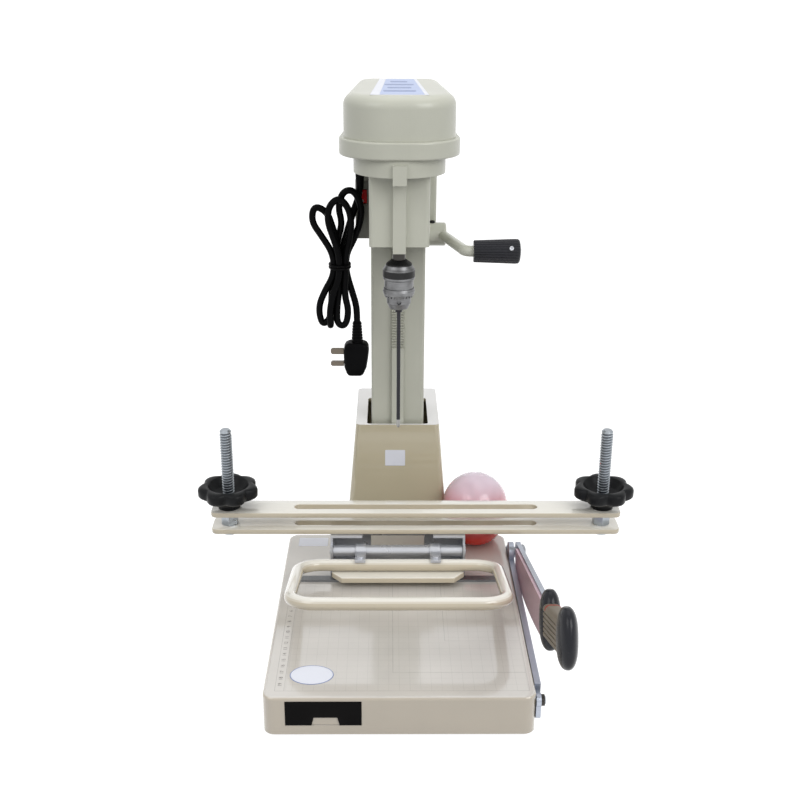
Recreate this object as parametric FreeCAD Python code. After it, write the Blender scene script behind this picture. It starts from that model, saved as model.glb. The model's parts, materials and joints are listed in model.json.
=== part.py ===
import FreeCAD, Part
import math
import os

# A desk paper drill with a sliding clamp, a paper press and a guillotine trimmer.
# Millimetres, +Z up, -Y towards the operator. The origin is on the bed's top face,
# under the axis of the drill.

V = FreeCAD.Vector
X_AXIS, Y_AXIS, Z_AXIS = V(1, 0, 0), V(0, 1, 0), V(0, 0, 1)
os.makedirs("parts", exist_ok=True)

# Clearances
RUN_GAP = 0.05            # radial, a shaft in its bore
SLIDE_GAP = 0.3           # faces that slide past each other

# Bed
BED_HALF = 127.0
BED_FRONT, BED_REAR = -251.0, 73.0
BED_BOTTOM = -40.0
BED_WALL, BED_TOP_WALL = 3.5, 4.0
BED_CORNER, BED_EDGE = 11.0, 3.0
FOOT_R, FOOT_H = 11.0, 4.0
FOOT_INSET = 25.0
FOOT_X = BED_HALF - FOOT_INSET
FOOT_FRONT, FOOT_REAR = BED_FRONT + FOOT_INSET, BED_REAR - FOOT_INSET
PLATE_FOOT_X, PLATE_FOOT_Y = 48.0, 190.0

# Drawer in the bed's front wall
DRAWER_X0 = 21.0 - BED_HALF
DRAWER_X1 = DRAWER_X0 + 71.0
DRAWER_Z0, DRAWER_Z1 = -30.0, -BED_TOP_WALL
DRAWER_LENGTH = 90.0
DRAWER_WALL = 2.0
DRAWER_FACE_T = 4.1
RUNNER_T = 4.0
NOTCH_X = (DRAWER_X0 + DRAWER_X1) / 2.0 + 2.0
NOTCH_HALF, NOTCH_HEIGHT, NOTCH_DEPTH = 11.0, 8.5, 2.6

# Backstop rule
RULE_HALF = BED_HALF - 15.0
RULE_FRONT, RULE_REAR = -40.0, -30.4
RULE_TOP = 2.5

# Base plate, housing and column
PLATE_HALF = 66.0
PLATE_FRONT, PLATE_REAR = 10.0, 212.0
PLATE_T = 4.0
PLATE_TOP = BED_BOTTOM + PLATE_T
HOUSING_TOP = 138.0
HOUSING_TOP_HALF, HOUSING_BOTTOM_HALF = 48.0, 63.0
HOUSING_TOP_Y = (78.0, 200.0)
HOUSING_BOTTOM_Y = (BED_REAR + SLIDE_GAP, 208.0)
HOUSING_WALL, HOUSING_ROOF = 3.5, 4.0
HOUSING_CORNER = 6.0
HOUSING_MOUTH_HALF, HOUSING_MOUTH_REAR = 35.0, 165.0
COLUMN_HALF = 30.0
COLUMN_FRONT, COLUMN_REAR = 88.0, 148.0
COLUMN_TOP = 386.0
COLUMN_WALL = 4.0

# Rack and feed pinion
MODULE = 1.0
PINION_TEETH = 24
PINION_R = MODULE * PINION_TEETH / 2.0
RACK_HALF = 7.0
RACK_PITCH_Y = 84.0       # pitch line, in front of the column
RACK_DEPTH = 12.0
RACK_BOTTOM = 100.0
STROKE = 124.0
FEED_Z = 361.5
FEED_Y = RACK_PITCH_Y - PINION_R
RACK_TEETH_Z0 = FEED_Z - STROKE - 8.0
FEED_SHAFT_R = 6.0
SPRING_X0, SPRING_X1 = -24.0, -13.0
SPRING_R0, SPRING_GROW, SPRING_T = 8.0, 1.15, 0.8
SPRING_HALF_TURNS = 8

# Head
BLOCK_HALF = 30.0
BLOCK_FRONT, BLOCK_BOTTOM = -25.0, 369.0
HEAD_TOP = 440.0
SLEEVE_HALF = 41.0
SLEEVE_FRONT, SLEEVE_BOTTOM = 85.0, 360.0
SLEEVE_WALL = 4.0
GEARCASE_FRONT, GEARCASE_BOTTOM = FEED_Y - 20.0, FEED_Z - 10.0
RIB_HALF = 6.5
RIB_FRONT, RIB_BOTTOM = -31.0, 363.5
COLLAR_HALF = 45.5
COLLAR_TOP = HEAD_TOP + 17.0
LUG_FRONT, LUG_Z0, LUG_Z1 = -49.0, HEAD_TOP - 6.5, HEAD_TOP + 12.5
RIM_TOP = COLLAR_TOP + 17.0
RIM_STEP = 4.5
RIM_WALL, RIM_FLOOR = 8.0, 3.0
COVER_FRONT, COVER_REAR = -44.0, 164.0
COVER_HALF, COVER_REAR_HALF = 55.0, 47.0
COVER_FRONT_R, COVER_REAR_R = 45.0, 22.0
COVER_TOP = RIM_TOP + 42.0
COVER_WALL, COVER_EDGE = 3.0, 12.0

# Spindle, motor and chuck
BEARING_OUT, BEARING_IN, BEARING_W = 17.5, 7.5, 11.0
LOWER_SEAT = BLOCK_BOTTOM + 4.0
UPPER_SEAT = HEAD_TOP - BEARING_W
SPINDLE_SHOULDER = 351.0
SPINDLE_TOP = HEAD_TOP + 58.0
MOTOR_R, MOTOR_BORE = 35.0, 21.0
MOTOR_TOP = HEAD_TOP + 54.0
ROTOR_R, ROTOR_BORE = 20.5, 6.0
CHUCK_LENGTH, CHUCK_R = 51.0, 16.5
CHUCK_BOTTOM = SPINDLE_SHOULDER - CHUCK_LENGTH
CHUCK_SHOULDER = CHUCK_BOTTOM + 22.0
JAW_BOTTOM, JAW_R = CHUCK_BOTTOM - 4.5, 5.1
KEY_HOLE_R = 2.4
BIT_R = 2.0
BIT_TIP = 167.0

# Crank
HUB_R = 12.5
HUB_X0, HUB_X1 = BLOCK_HALF + 0.4, BLOCK_HALF + 21.0
ARM_R, ARM_BEND_R = 5.5, 9.0
ARM_X0, ARM_CORNER_X = HUB_X1 - 4.2, HUB_X1 + 14.4
GRIP_X0, GRIP_X1 = 73.0, 119.0
GRIP_R0, GRIP_R1 = 10.0, 12.5
GRIP_Y, GRIP_Z = -32.0, 367.0
GRIP_SOCKET = 8.0

# Switch box
SWITCH_X0, SWITCH_X1 = -45.0, -BLOCK_HALF
SWITCH_Y0, SWITCH_Y1 = 38.0, 82.0
SWITCH_Z0, SWITCH_Z1 = 364.0, 424.0
ROCKER_W, ROCKER_H = 8.6, 15.0
ROCKER_X, ROCKER_Z = -37.5, 408.0
TRUNNION_Y, TRUNNION_R = SWITCH_Y0 + 3.0, 1.2

# Mains lead
CORD_R = 3.5
GLAND_X, GLAND_Y = -40.0, 31.0
GLAND_R, GLAND_H, GLAND_END = 5.2, 4.0, 418.0
LEAD_ROUTE = [V(GLAND_X, GLAND_Y, GLAND_END), V(-41.5, 30.5, 409), V(-49, 28.5, 399)]
TAIL_ROUTE = [V(-57, 27, 318), V(-49, 28, 302), V(-43.5, 27, 288), V(-44, 27, 277)]
HANK_Y = 27.0
HANK_SIDES = 20
HANK_SECTIONS = [         # z, centre x, half width, half depth
    (272.0, -72.0, 8.0, 3.0),
    (282.0, -71.5, 17.0, 6.5),
    (298.0, -70.0, 17.5, 7.5),
    (320.0, -65.0, 12.5, 8.5),
    (338.0, -61.5, 10.0, 9.5),
    (352.0, -62.0, 13.5, 8.5),
    (372.0, -64.0, 22.5, 8.0),
    (390.0, -64.0, 27.0, 7.5),
    (402.0, -61.0, 24.0, 6.5),
    (412.0, -55.0, 15.0, 5.0),
    (419.0, -50.0, 5.0, 2.5),
]
TIE_X, TIE_Z, TIE_W = -61.5, 338.0, 5.0
TIE_IN, TIE_OUT = 9.6, 11.4
PLUG_X, PLUG_TOP, PLUG_BOTTOM = -46.0, 254.0, 218.0
PLUG_HALF, PLUG_HALF_DEPTH = 12.5, 10.0
PIN_LENGTH, PIN_HALF_W, PIN_HALF_T = 14.0, 3.2, 0.8
PIN_Z = (244.0, 230.0)

# Trimmer
FIXED_BLADE_T = 6.0
FIXED_BLADE_FRONT, FIXED_BLADE_REAR = -228.0, 45.0
FIXED_BLADE_Z0, FIXED_BLADE_Z1 = -22.0, -0.4
BLADE_SCREWS_Y, BLADE_SCREWS_Z = (-205.0, -140.0, -75.0, -10.0), -13.0
BLADE_SCREW_R = 3.5
PIVOT_Y, PIVOT_Z = 24.0, 2.0
PIVOT_R, PIVOT_EYE_R, PIVOT_HEAD_R = 6.0, 12.0, 9.0
BLADE_X0 = BED_HALF + FIXED_BLADE_T + SLIDE_GAP
BLADE_X1 = BLADE_X0 + 3.0
ARM_X1 = BLADE_X1 + 5.0
ARM_LENGTH = 255.0
ARM_HALF_H = 11.0
ARM_TILT = 15.0
BLADE_DROP = 28.0
BLADE_D0, BLADE_D1 = 20.0, ARM_LENGTH - 6.0
HANDLE_BEND = 8.0
HANDLE_X = (BLADE_X1 + ARM_X1) / 2.0 - 2.3
TANG_LENGTH, TANG_HALF_H = 124.0, 8.0
LOBES = [(15.5, 9.9, 13.5, 28.0), (113.0, 9.0, 17.0, 26.0)]    # distance along, half sizes
LOBE_STATIONS = (-0.99, -0.93, -0.78, -0.45, 0.0, 0.45, 0.78, 0.93, 0.99)
LOBE_POWER = 2.5
WAIST_HALF_X, WAIST_HALF_H = 7.6, 16.0
WAIST_GROOVES, WAIST_PITCH, WAIST_GROOVE = 5, 4.4, 0.8
LATCH_Y, LATCH_Z = BED_FRONT + 12.0, -11.0
LATCH_LENGTH, LATCH_EYE_R, LATCH_TIP_R = 19.0, 6.5, 5.0
LATCH_X0, LATCH_X1 = BED_HALF + 0.4, BED_HALF + 5.0
LATCH_PIN_R, LATCH_HEAD_R = 3.0, 5.5

# Press
PRESS_Y, PRESS_Z = -17.0, 26.0
PRESS_SHAFT_R = 4.0
BARREL_R = 6.5
BRACKET_HALF = 74.0
BRACKET_T = 2.5
BRACKET_TOP = 46.0
BRACKET_REAR = 14.5
WING_X0, WING_FRONT = 39.0, -20.0
WEB_FRONT, WEB_TOP = -27.0, 36.0
WINDOW_HALF, WINDOW_Z0, WINDOW_Z1 = 30.0, 8.0, 30.0
PRESS_ARM_X0, PRESS_ARM_X1 = 35.3, 46.6
PRESS_ARM_X = (PRESS_ARM_X0 + PRESS_ARM_X1) / 2.0
BARREL_X0, BARREL_X1 = PRESS_ARM_X1 + SLIDE_GAP, BRACKET_HALF - BRACKET_T - SLIDE_GAP
ARM_EYE_R, TONGUE_T = 8.0, 2.8
LOOP_TUBE_R = 6.5
LOOP_HALF = 107.5
LOOP_REAR = (-38.0, 20.0)
LOOP_FRONT = (-169.0, 50.0)
LOOP_CORNER = 24.0
TONGUE_Z = LOOP_REAR[1] + LOOP_TUBE_R
PRESS_PLATE_HALF = 72.0
PRESS_PLATE_FRONT, PRESS_PLATE_REAR = -55.0, -30.0
PRESS_PLATE_SIDE, PRESS_PLATE_CORNER = 12.0, 11.0
PRESS_PLATE_Z0, PRESS_PLATE_Z1 = 7.5, 13.4
SCREW_R, SCREW_HEAD_R, SCREW_BITE = 2.0, 3.6, 1.5

# Clamp
CARRIAGE_X = 20.0
BAR_HALF = 223.0
BAR_R = 16.5
BAR_T = 6.0
BAR_GAP = 14.0
BAR_SLOT_HALF = 134.0
BAR_SLOT_R = 5.7
LOWER_BAR_Z = BRACKET_TOP
UPPER_BAR_Z = LOWER_BAR_Z + BAR_T + BAR_GAP
ROD_X = 206.0
ROD_R = 7.0
ROD_TOP = 164.0
ROD_HEAD_R, ROD_HEAD_H = 11.0, 4.0
NUT_R = 12.1
WASHER_R, WASHER_T = 14.0, 1.2
KNOB_Z = UPPER_BAR_Z + BAR_T
KNOB_R = 34.0
KNOB_LOBES = 7
KNOB_LOBE_R, KNOB_HOLLOW_R = 8.2, 5.0
KNOB_HUB_R, KNOB_HUB_H = 12.5, 12.0
KNOB_CONE_R = 23.0
KNOB_H = 27.0
DISH_R, DISH_FLOOR_R, DISH_DEPTH = 24.0, 14.0, 7.0

# Chip jar
JAR_X, JAR_Y, JAR_R = 95.0, 59.0, 37.5
JAR_FOOT_R, JAR_BELLY_Z, JAR_TOP = 20.0, 38.0, 82.0
JAR_WALL = 2.5


def save(name, shape):
    shape.exportStep("parts/" + name + ".step")


def box(x0, x1, y0, y1, z0, z1):
    return Part.makeBox(x1 - x0, y1 - y0, z1 - z0, V(x0, y0, z0))


def round_x(y, z, radius, x0, x1):
    return Part.makeCylinder(radius, x1 - x0, V(x0, y, z), X_AXIS)


def round_z(x, y, radius, z0, z1):
    return Part.makeCylinder(radius, z1 - z0, V(x, y, z0), Z_AXIS)


def both(make):
    """The same piece on the left and on the right."""
    return Part.makeCompound([make(-1), make(1)])


def side_box(side, x0, x1, y0, y1, z0, z1):
    return box(min(side * x0, side * x1), max(side * x0, side * x1), y0, y1, z0, z1)


def hull_face(discs, z):
    """The outline round a ring of discs, given anticlockwise as (x, y, radius)."""
    normals = []
    for (x, y, radius), (next_x, next_y, next_radius) in zip(discs, discs[1:] + discs[:1]):
        heading = math.atan2(next_y - y, next_x - x)
        reach = math.hypot(next_x - x, next_y - y)
        normals.append(heading - math.pi / 2 + math.asin((radius - next_radius) / reach))

    def rim(disc, turn):
        return V(disc[0] + disc[2] * math.cos(turn), disc[1] + disc[2] * math.sin(turn), z)
    edges = []
    for index, disc in enumerate(discs):
        start, end = normals[index - 1], normals[index]
        while end < start:
            end += 2 * math.pi
        leave = rim(disc, end)
        edges.append(Part.Arc(rim(disc, start), rim(disc, (start + end) / 2), leave).toShape())
        following = rim(discs[(index + 1) % len(discs)], end)
        if leave.distanceToPoint(following) > 1e-6:
            edges.append(Part.LineSegment(leave, following).toShape())
    return Part.Face(Part.Wire(edges))


def plan_face(half_x, y0, y1, front_r, rear_r, z):
    """A rectangle in plan with its own front and rear corner radii."""
    return hull_face([(front_r - half_x, y0 + front_r, front_r), (half_x - front_r, y0 + front_r, front_r),
                      (half_x - rear_r, y1 - rear_r, rear_r), (rear_r - half_x, y1 - rear_r, rear_r)], z)


def flat_edges(shape, z):
    return [e for e in shape.Edges if e.BoundBox.ZLength < 1e-4 and abs(e.BoundBox.ZMin - z) < 1e-4]


def prism(face, height):
    return face.extrude(V(0, 0, height))


def taper(lower, upper):
    return Part.makeLoft([lower.OuterWire, upper.OuterWire], True, True)


def fillet_at(shape, z, radius):
    """Round the edges that lie in the horizontal plane z."""
    return shape.makeFillet(radius, flat_edges(shape, z))


def chamfer_at(shape, z, size):
    return shape.makeChamfer(size, flat_edges(shape, z))


def chamfer_end_x(shape, x, size):
    """Chamfer the edges that lie in the upright plane x."""
    edges = [e for e in shape.Edges if e.BoundBox.XLength < 1e-4 and abs(e.BoundBox.XMin - x) < 1e-4]
    return shape.makeChamfer(size, edges)


def notch_prism(y, depth):
    """The trapezoid at the foot of the drawer's face, from y towards the rear."""
    z0 = DRAWER_Z0 + SLIDE_GAP
    foot = NOTCH_HALF + 2.0
    outline = [V(NOTCH_X - foot, y, z0), V(NOTCH_X + foot, y, z0),
               V(NOTCH_X + NOTCH_HALF, y, z0 + NOTCH_HEIGHT), V(NOTCH_X - NOTCH_HALF, y, z0 + NOTCH_HEIGHT)]
    return Part.Face(Part.makePolygon(outline + outline[:1])).extrude(V(0, depth, 0))


def polygon_prism_x(points, x0, x1):
    wire = Part.makePolygon([V(x0, y, z) for y, z in points + points[:1]])
    return Part.Face(wire).extrude(V(x1 - x0, 0, 0))


def turned(profile, x=0.0, y=0.0):
    """A solid of revolution about Z from (radius, z) points."""
    wire = Part.makePolygon([V(r, 0, z) for r, z in profile + profile[:1]])
    solid = Part.Face(wire).revolve(V(0, 0, 0), Z_AXIS, 360)
    return solid.translated(V(x, y, 0))


def route_path(points, radii):
    """Straight runs joined by tangent arcs."""
    edges, start = [], points[0]
    for index, radius in enumerate(radii):
        before, corner, after = points[index], points[index + 1], points[index + 2]
        back = (before - corner).normalize()
        ahead = (after - corner).normalize()
        half_turn = (math.pi - back.getAngle(ahead)) / 2.0
        reach = radius * math.tan(half_turn)
        entry, leave = corner + back * reach, corner + ahead * reach
        middle_way = (back + ahead).normalize()
        middle = corner + middle_way * (radius / math.cos(half_turn) - radius)
        if start.distanceToPoint(entry) > 1e-6:
            edges.append(Part.LineSegment(start, entry).toShape())
        edges.append(Part.Arc(entry, middle, leave).toShape())
        start = leave
    edges.append(Part.LineSegment(start, points[-1]).toShape())
    return Part.Wire(edges)


def tube(path, radius, name):
    first = path.Edges[0]
    heading = first.tangentAt(first.FirstParameter)
    ring = Part.Wire(Part.Circle(path.OrderedVertexes[0].Point, heading, radius).toShape())
    solid = path.makePipeShell([ring], True, True)
    expected = math.pi * radius ** 2 * path.Length
    print(name, "volume over section x length:", round(solid.Volume / expected, 4))
    return solid


def cord_tube(points, name):
    """A cord's tube, with each arc as large as its two runs allow."""
    radii = []
    for before, corner, after in zip(points, points[1:], points[2:]):
        shorter = min(before.distanceToPoint(corner), corner.distanceToPoint(after))
        turn = math.pi - (before - corner).getAngle(after - corner)
        radii.append(0.45 * shorter / math.tan(turn / 2.0))
    print(name, "radii", [round(r, 1) for r in radii])
    return tube(route_path(points, radii), CORD_R, name)


# ---------------------------------------------------------------- bed

def bed_shell():
    shell = prism(plan_face(BED_HALF, BED_FRONT, BED_REAR, BED_CORNER, BED_CORNER, BED_BOTTOM), -BED_BOTTOM)
    shell = fillet_at(shell, 0, BED_EDGE)
    inner_r = BED_CORNER - BED_WALL
    hollow = plan_face(BED_HALF - BED_WALL, BED_FRONT + BED_WALL, BED_REAR - BED_WALL, inner_r, inner_r,
                       BED_BOTTOM)
    shell = shell.cut(prism(hollow, -BED_BOTTOM - BED_TOP_WALL))
    for x in (-FOOT_X, FOOT_X):
        for y in (FOOT_FRONT, FOOT_REAR):
            shell = shell.fuse(round_z(x, y, FOOT_R, BED_BOTTOM, -BED_TOP_WALL))
    inside = BED_FRONT + BED_WALL
    rails_rear = BED_FRONT + DRAWER_LENGTH + 6
    shelf_z = DRAWER_Z0 - RUNNER_T
    for x0, x1 in ((DRAWER_X0 - RUNNER_T, DRAWER_X0), (DRAWER_X1, DRAWER_X1 + RUNNER_T)):
        shell = shell.fuse(box(x0, x1, inside, rails_rear, shelf_z, -BED_TOP_WALL))
    shelf = box(DRAWER_X0 - RUNNER_T, DRAWER_X1 + RUNNER_T, inside, rails_rear, shelf_z, DRAWER_Z0)
    shell = shell.fuse(shelf)
    shell = shell.cut(box(DRAWER_X0, DRAWER_X1, BED_FRONT - 1, rails_rear, DRAWER_Z0, DRAWER_Z1))
    return shell.cut(box(-PLATE_HALF - SLIDE_GAP, PLATE_HALF + SLIDE_GAP, BED_REAR - BED_WALL - 1,
                         BED_REAR + 1, BED_BOTTOM - 1, PLATE_TOP)).removeSplitter()


def rubber_feet():
    places = [(x, y) for x in (-FOOT_X, FOOT_X) for y in (FOOT_FRONT, FOOT_REAR)]
    places += [(-PLATE_FOOT_X, PLATE_FOOT_Y), (PLATE_FOOT_X, PLATE_FOOT_Y)]
    feet = [round_z(x, y, FOOT_R, BED_BOTTOM - FOOT_H, BED_BOTTOM) for x, y in places]
    return Part.makeCompound([chamfer_at(foot, BED_BOTTOM - FOOT_H, 1.0) for foot in feet])


def drawer():
    """An open tray behind a face that stands just proud of the bed's front."""
    x0, x1 = DRAWER_X0 + SLIDE_GAP, DRAWER_X1 - SLIDE_GAP
    z0, z1 = DRAWER_Z0 + SLIDE_GAP, DRAWER_Z1 - SLIDE_GAP
    face_y = BED_FRONT - 0.6
    rear = BED_FRONT + DRAWER_LENGTH
    tray = box(x0, x1, face_y + 1, rear, z0, z1 - 4)
    tray = tray.fuse(box(x0, x1, face_y, face_y + DRAWER_FACE_T, z0, z1))
    tray = tray.cut(box(x0 + DRAWER_WALL, x1 - DRAWER_WALL, face_y + DRAWER_FACE_T, rear - DRAWER_WALL,
                        z0 + DRAWER_WALL, z1 + 1))
    return tray.cut(notch_prism(face_y - 1, NOTCH_DEPTH + 1)).removeSplitter()


def drawer_pull():
    """The cream finger piece let into the drawer's face."""
    return notch_prism(BED_FRONT - 0.6 + 1.0, NOTCH_DEPTH - 1.0)


# ---------------------------------------------------------------- housing, column and rack

def housing():
    def form(inset, z0, z1):
        def face(z):
            share = (HOUSING_TOP - z) / (HOUSING_TOP - PLATE_TOP)
            half = HOUSING_TOP_HALF + (HOUSING_BOTTOM_HALF - HOUSING_TOP_HALF) * share
            front = HOUSING_TOP_Y[0] + (HOUSING_BOTTOM_Y[0] - HOUSING_TOP_Y[0]) * share
            rear = HOUSING_TOP_Y[1] + (HOUSING_BOTTOM_Y[1] - HOUSING_TOP_Y[1]) * share
            corner = HOUSING_CORNER - inset
            return plan_face(half - inset, front + inset, rear - inset, corner, corner, z)
        return taper(face(z0), face(z1))
    shell = form(0.0, PLATE_TOP, HOUSING_TOP)
    shell = shell.cut(form(HOUSING_WALL, PLATE_TOP, HOUSING_TOP - HOUSING_ROOF))
    mouth = plan_face(HOUSING_MOUTH_HALF, HOUSING_TOP_Y[0] + HOUSING_WALL, HOUSING_MOUTH_REAR, 3, 3,
                      HOUSING_TOP - 3 * HOUSING_ROOF)
    return shell.cut(prism(mouth, 5 * HOUSING_ROOF))


def column():
    body = prism(plan_face(COLUMN_HALF, COLUMN_FRONT, COLUMN_REAR, 3, 3, PLATE_TOP), COLUMN_TOP - PLATE_TOP)
    groove_rear = RACK_PITCH_Y - MODULE + RACK_DEPTH
    hollow = box(-COLUMN_HALF + COLUMN_WALL, COLUMN_HALF - COLUMN_WALL, groove_rear + COLUMN_WALL,
                 COLUMN_REAR - COLUMN_WALL, BED_BOTTOM, COLUMN_TOP + 1)
    groove = box(-RACK_HALF, RACK_HALF, COLUMN_FRONT - 1, groove_rear, RACK_BOTTOM, COLUMN_TOP + 1)
    return body.cut(hollow).cut(groove)


def rack():
    """Straight-sided teeth that face the operator, in mesh with the pinion."""
    tip = RACK_PITCH_Y - MODULE
    root = RACK_PITCH_Y + 1.25 * MODULE
    rear = tip + RACK_DEPTH
    pitch = math.pi * MODULE
    slope = math.tan(math.radians(20))
    wide = pitch / 4.0 + MODULE * slope
    narrow = pitch / 4.0 - 1.25 * MODULE * slope
    outline = [(rear, RACK_BOTTOM), (tip, RACK_BOTTOM)]
    below = int((FEED_Z - RACK_TEETH_Z0) / pitch)
    above = int((COLUMN_TOP - wide - FEED_Z) / pitch)
    for index in range(-below, above + 1):
        z = FEED_Z + index * pitch
        outline += [(tip, z - wide), (root, z - narrow), (root, z + narrow), (tip, z + wide)]
    outline += [(tip, COLUMN_TOP), (rear, COLUMN_TOP)]
    return polygon_prism_x(outline, -RACK_HALF + RUN_GAP, RACK_HALF - RUN_GAP)


def pinion_shaft():
    """A spur gear cut on its shaft. A tooth points at the rack."""
    tip_r, root_r = PINION_R + 0.9 * MODULE, PINION_R - 1.25 * MODULE
    step = 2 * math.pi / PINION_TEETH
    tip_half, root_half = step * 0.10, step * 0.36
    flanks = ((root_r, -root_half), (tip_r, -tip_half), (tip_r, tip_half), (root_r, root_half))
    outline = []
    for tooth in range(PINION_TEETH):
        for radius, turn in flanks:
            angle = tooth * step + turn
            outline.append((FEED_Y + radius * math.cos(angle), FEED_Z + radius * math.sin(angle)))
    gear = polygon_prism_x(outline, -RACK_HALF - 1, RACK_HALF + 1)
    return gear.fuse(round_x(FEED_Y, FEED_Z, FEED_SHAFT_R, SPRING_X0 - 4, HUB_X1 - 3))


def return_spring():
    """A flat clock spring round the feed shaft, drawn as half turns of growing radius."""
    reach = 2 * SPRING_R0 + SPRING_GROW * SPRING_HALF_TURNS
    coil, radius = None, SPRING_R0
    for half in range(SPRING_HALF_TURNS):
        odd = half % 2
        centre_y = FEED_Y + odd * SPRING_GROW / 2.0
        outer = round_x(centre_y, FEED_Z, radius + SPRING_T / 2, SPRING_X0, SPRING_X1)
        band = outer.cut(round_x(centre_y, FEED_Z, radius - SPRING_T / 2, SPRING_X0, SPRING_X1))
        z0 = FEED_Z - reach * (1 - odd)
        arc = band.common(box(SPRING_X0, SPRING_X1, FEED_Y - reach, FEED_Y + reach, z0, z0 + reach))
        coil = arc if coil is None else coil.fuse(arc)
        radius += SPRING_GROW / 2.0
    inner = box(SPRING_X0, SPRING_X1, FEED_Y - SPRING_R0 - SPRING_T / 2, FEED_Y - FEED_SHAFT_R - 0.1,
                FEED_Z, FEED_Z + SPRING_T)
    return coil.fuse(inner)


def column_way(gap, z0, z1):
    """Room for the column and its rack."""
    way = box(-COLUMN_HALF - gap, COLUMN_HALF + gap, COLUMN_FRONT - gap, COLUMN_REAR + gap, z0, z1)
    rack_front = RACK_PITCH_Y - MODULE - gap
    return way.fuse(box(-RACK_HALF - gap, RACK_HALF + gap, rack_front, COLUMN_FRONT, z0, z1))


# ---------------------------------------------------------------- head

def head_body():
    block = prism(plan_face(BLOCK_HALF, BLOCK_FRONT, SLEEVE_FRONT + 6, 4, 1, BLOCK_BOTTOM),
                  HEAD_TOP - BLOCK_BOTTOM)
    gearcase = box(-BLOCK_HALF, BLOCK_HALF, GEARCASE_FRONT, SLEEVE_FRONT + 2, GEARCASE_BOTTOM,
                   BLOCK_BOTTOM + 1)
    sleeve = plan_face(SLEEVE_HALF, SLEEVE_FRONT, COLUMN_REAR + SLEEVE_WALL, 3, 3, SLEEVE_BOTTOM)
    sleeve = prism(sleeve, HEAD_TOP - SLEEVE_BOTTOM)
    rib = box(-RIB_HALF, RIB_HALF, RIB_FRONT, BLOCK_FRONT + 2, RIB_BOTTOM, HEAD_TOP)
    foot = box(-RIB_HALF, RIB_HALF, RIB_FRONT, BLOCK_FRONT + 16, RIB_BOTTOM, BLOCK_BOTTOM + 1)
    body = block.fuse([gearcase, sleeve, rib, foot])
    gear_room = round_x(FEED_Y, FEED_Z, PINION_R + 2.0, -RACK_HALF - 2, RACK_HALF + 2)
    spring_room = round_x(FEED_Y, FEED_Z, PINION_R + 2.0, SPRING_X0 - 0.5, SPRING_X1 + 0.5)
    shaft_bore = round_x(FEED_Y, FEED_Z, FEED_SHAFT_R + RUN_GAP, SPRING_X0 - 4.2, BLOCK_HALF + 1)
    seats = [round_z(0, 0, BEARING_OUT, LOWER_SEAT, LOWER_SEAT + BEARING_W),
             round_z(0, 0, BEARING_OUT, UPPER_SEAT, HEAD_TOP + 1)]
    bore = round_z(0, 0, BEARING_OUT - 4.5, BLOCK_BOTTOM - 12, HEAD_TOP + 1)
    way = column_way(SLIDE_GAP, GEARCASE_BOTTOM - 1, HEAD_TOP + 1)
    return body.cut([way, gear_room, spring_room, shaft_bore, bore] + seats).removeSplitter()


def head_collar():
    """A flange on the block, with a clamping lug over the rib."""
    plan = plan_face(COLLAR_HALF, -COLLAR_HALF, COLUMN_REAR + SLEEVE_WALL, COLLAR_HALF - 0.5, 12, HEAD_TOP)
    flange = prism(plan, COLLAR_TOP - HEAD_TOP)
    lug = box(-RIB_HALF - 0.3, RIB_HALF + 0.3, LUG_FRONT, RIB_FRONT, LUG_Z0, LUG_Z1)
    motor_room = round_z(0, 0, MOTOR_R + 0.3, HEAD_TOP - 1, COLLAR_TOP + 1)
    return flange.fuse(lug).cut([motor_room, column_way(1.0, HEAD_TOP - 1, COLLAR_TOP + 1)])


def cover_face(inset, z):
    """The cover's outline in plan: a round nose, and a narrower rear."""
    nose_x, nose_y = COVER_HALF - COVER_FRONT_R, COVER_FRONT + COVER_FRONT_R
    rear_x, rear_y = COVER_REAR_HALF - COVER_REAR_R, COVER_REAR - COVER_REAR_R
    front_r, rear_r = COVER_FRONT_R - inset, COVER_REAR_R - inset
    return hull_face([(-nose_x, nose_y, front_r), (nose_x, nose_y, front_r),
                      (rear_x, rear_y, rear_r), (-rear_x, rear_y, rear_r)], z)


def cover_base():
    outer = prism(cover_face(-RIM_STEP, COLLAR_TOP), RIM_TOP - COLLAR_TOP)
    outer = fillet_at(fillet_at(outer, RIM_TOP, 2.0), COLLAR_TOP, 2.0)
    inner = prism(cover_face(RIM_WALL - RIM_STEP, COLLAR_TOP + RIM_FLOOR), RIM_TOP - COLLAR_TOP)
    floor_top = COLLAR_TOP + RIM_FLOOR + 1
    return outer.cut([inner, round_z(0, 0, MOTOR_R + 0.3, COLLAR_TOP - 1, floor_top),
                      column_way(1.0, COLLAR_TOP - 1, floor_top)])


def cover_dome():
    def form(inset, top):
        return fillet_at(prism(cover_face(inset, RIM_TOP), top - RIM_TOP), top, COVER_EDGE - inset)
    return form(0.0, COVER_TOP).cut(form(COVER_WALL, COVER_TOP - COVER_WALL))


def ring(outer, inner, z0, z1):
    return round_z(0, 0, outer, z0, z1).cut(round_z(0, 0, inner, z0 - 1, z1 + 1))


def bearing(z0):
    """One closed ring with a groove in its top face, between the races."""
    bore, top = BEARING_IN + RUN_GAP, z0 + BEARING_W
    groove_r0, groove_r1, groove_z = bore + 3.0, BEARING_OUT - 3.0, top - 0.8
    return turned([(bore, z0), (BEARING_OUT, z0), (BEARING_OUT, top), (groove_r1, top),
                   (groove_r1, groove_z), (groove_r0, groove_z), (groove_r0, top), (bore, top)])


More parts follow.
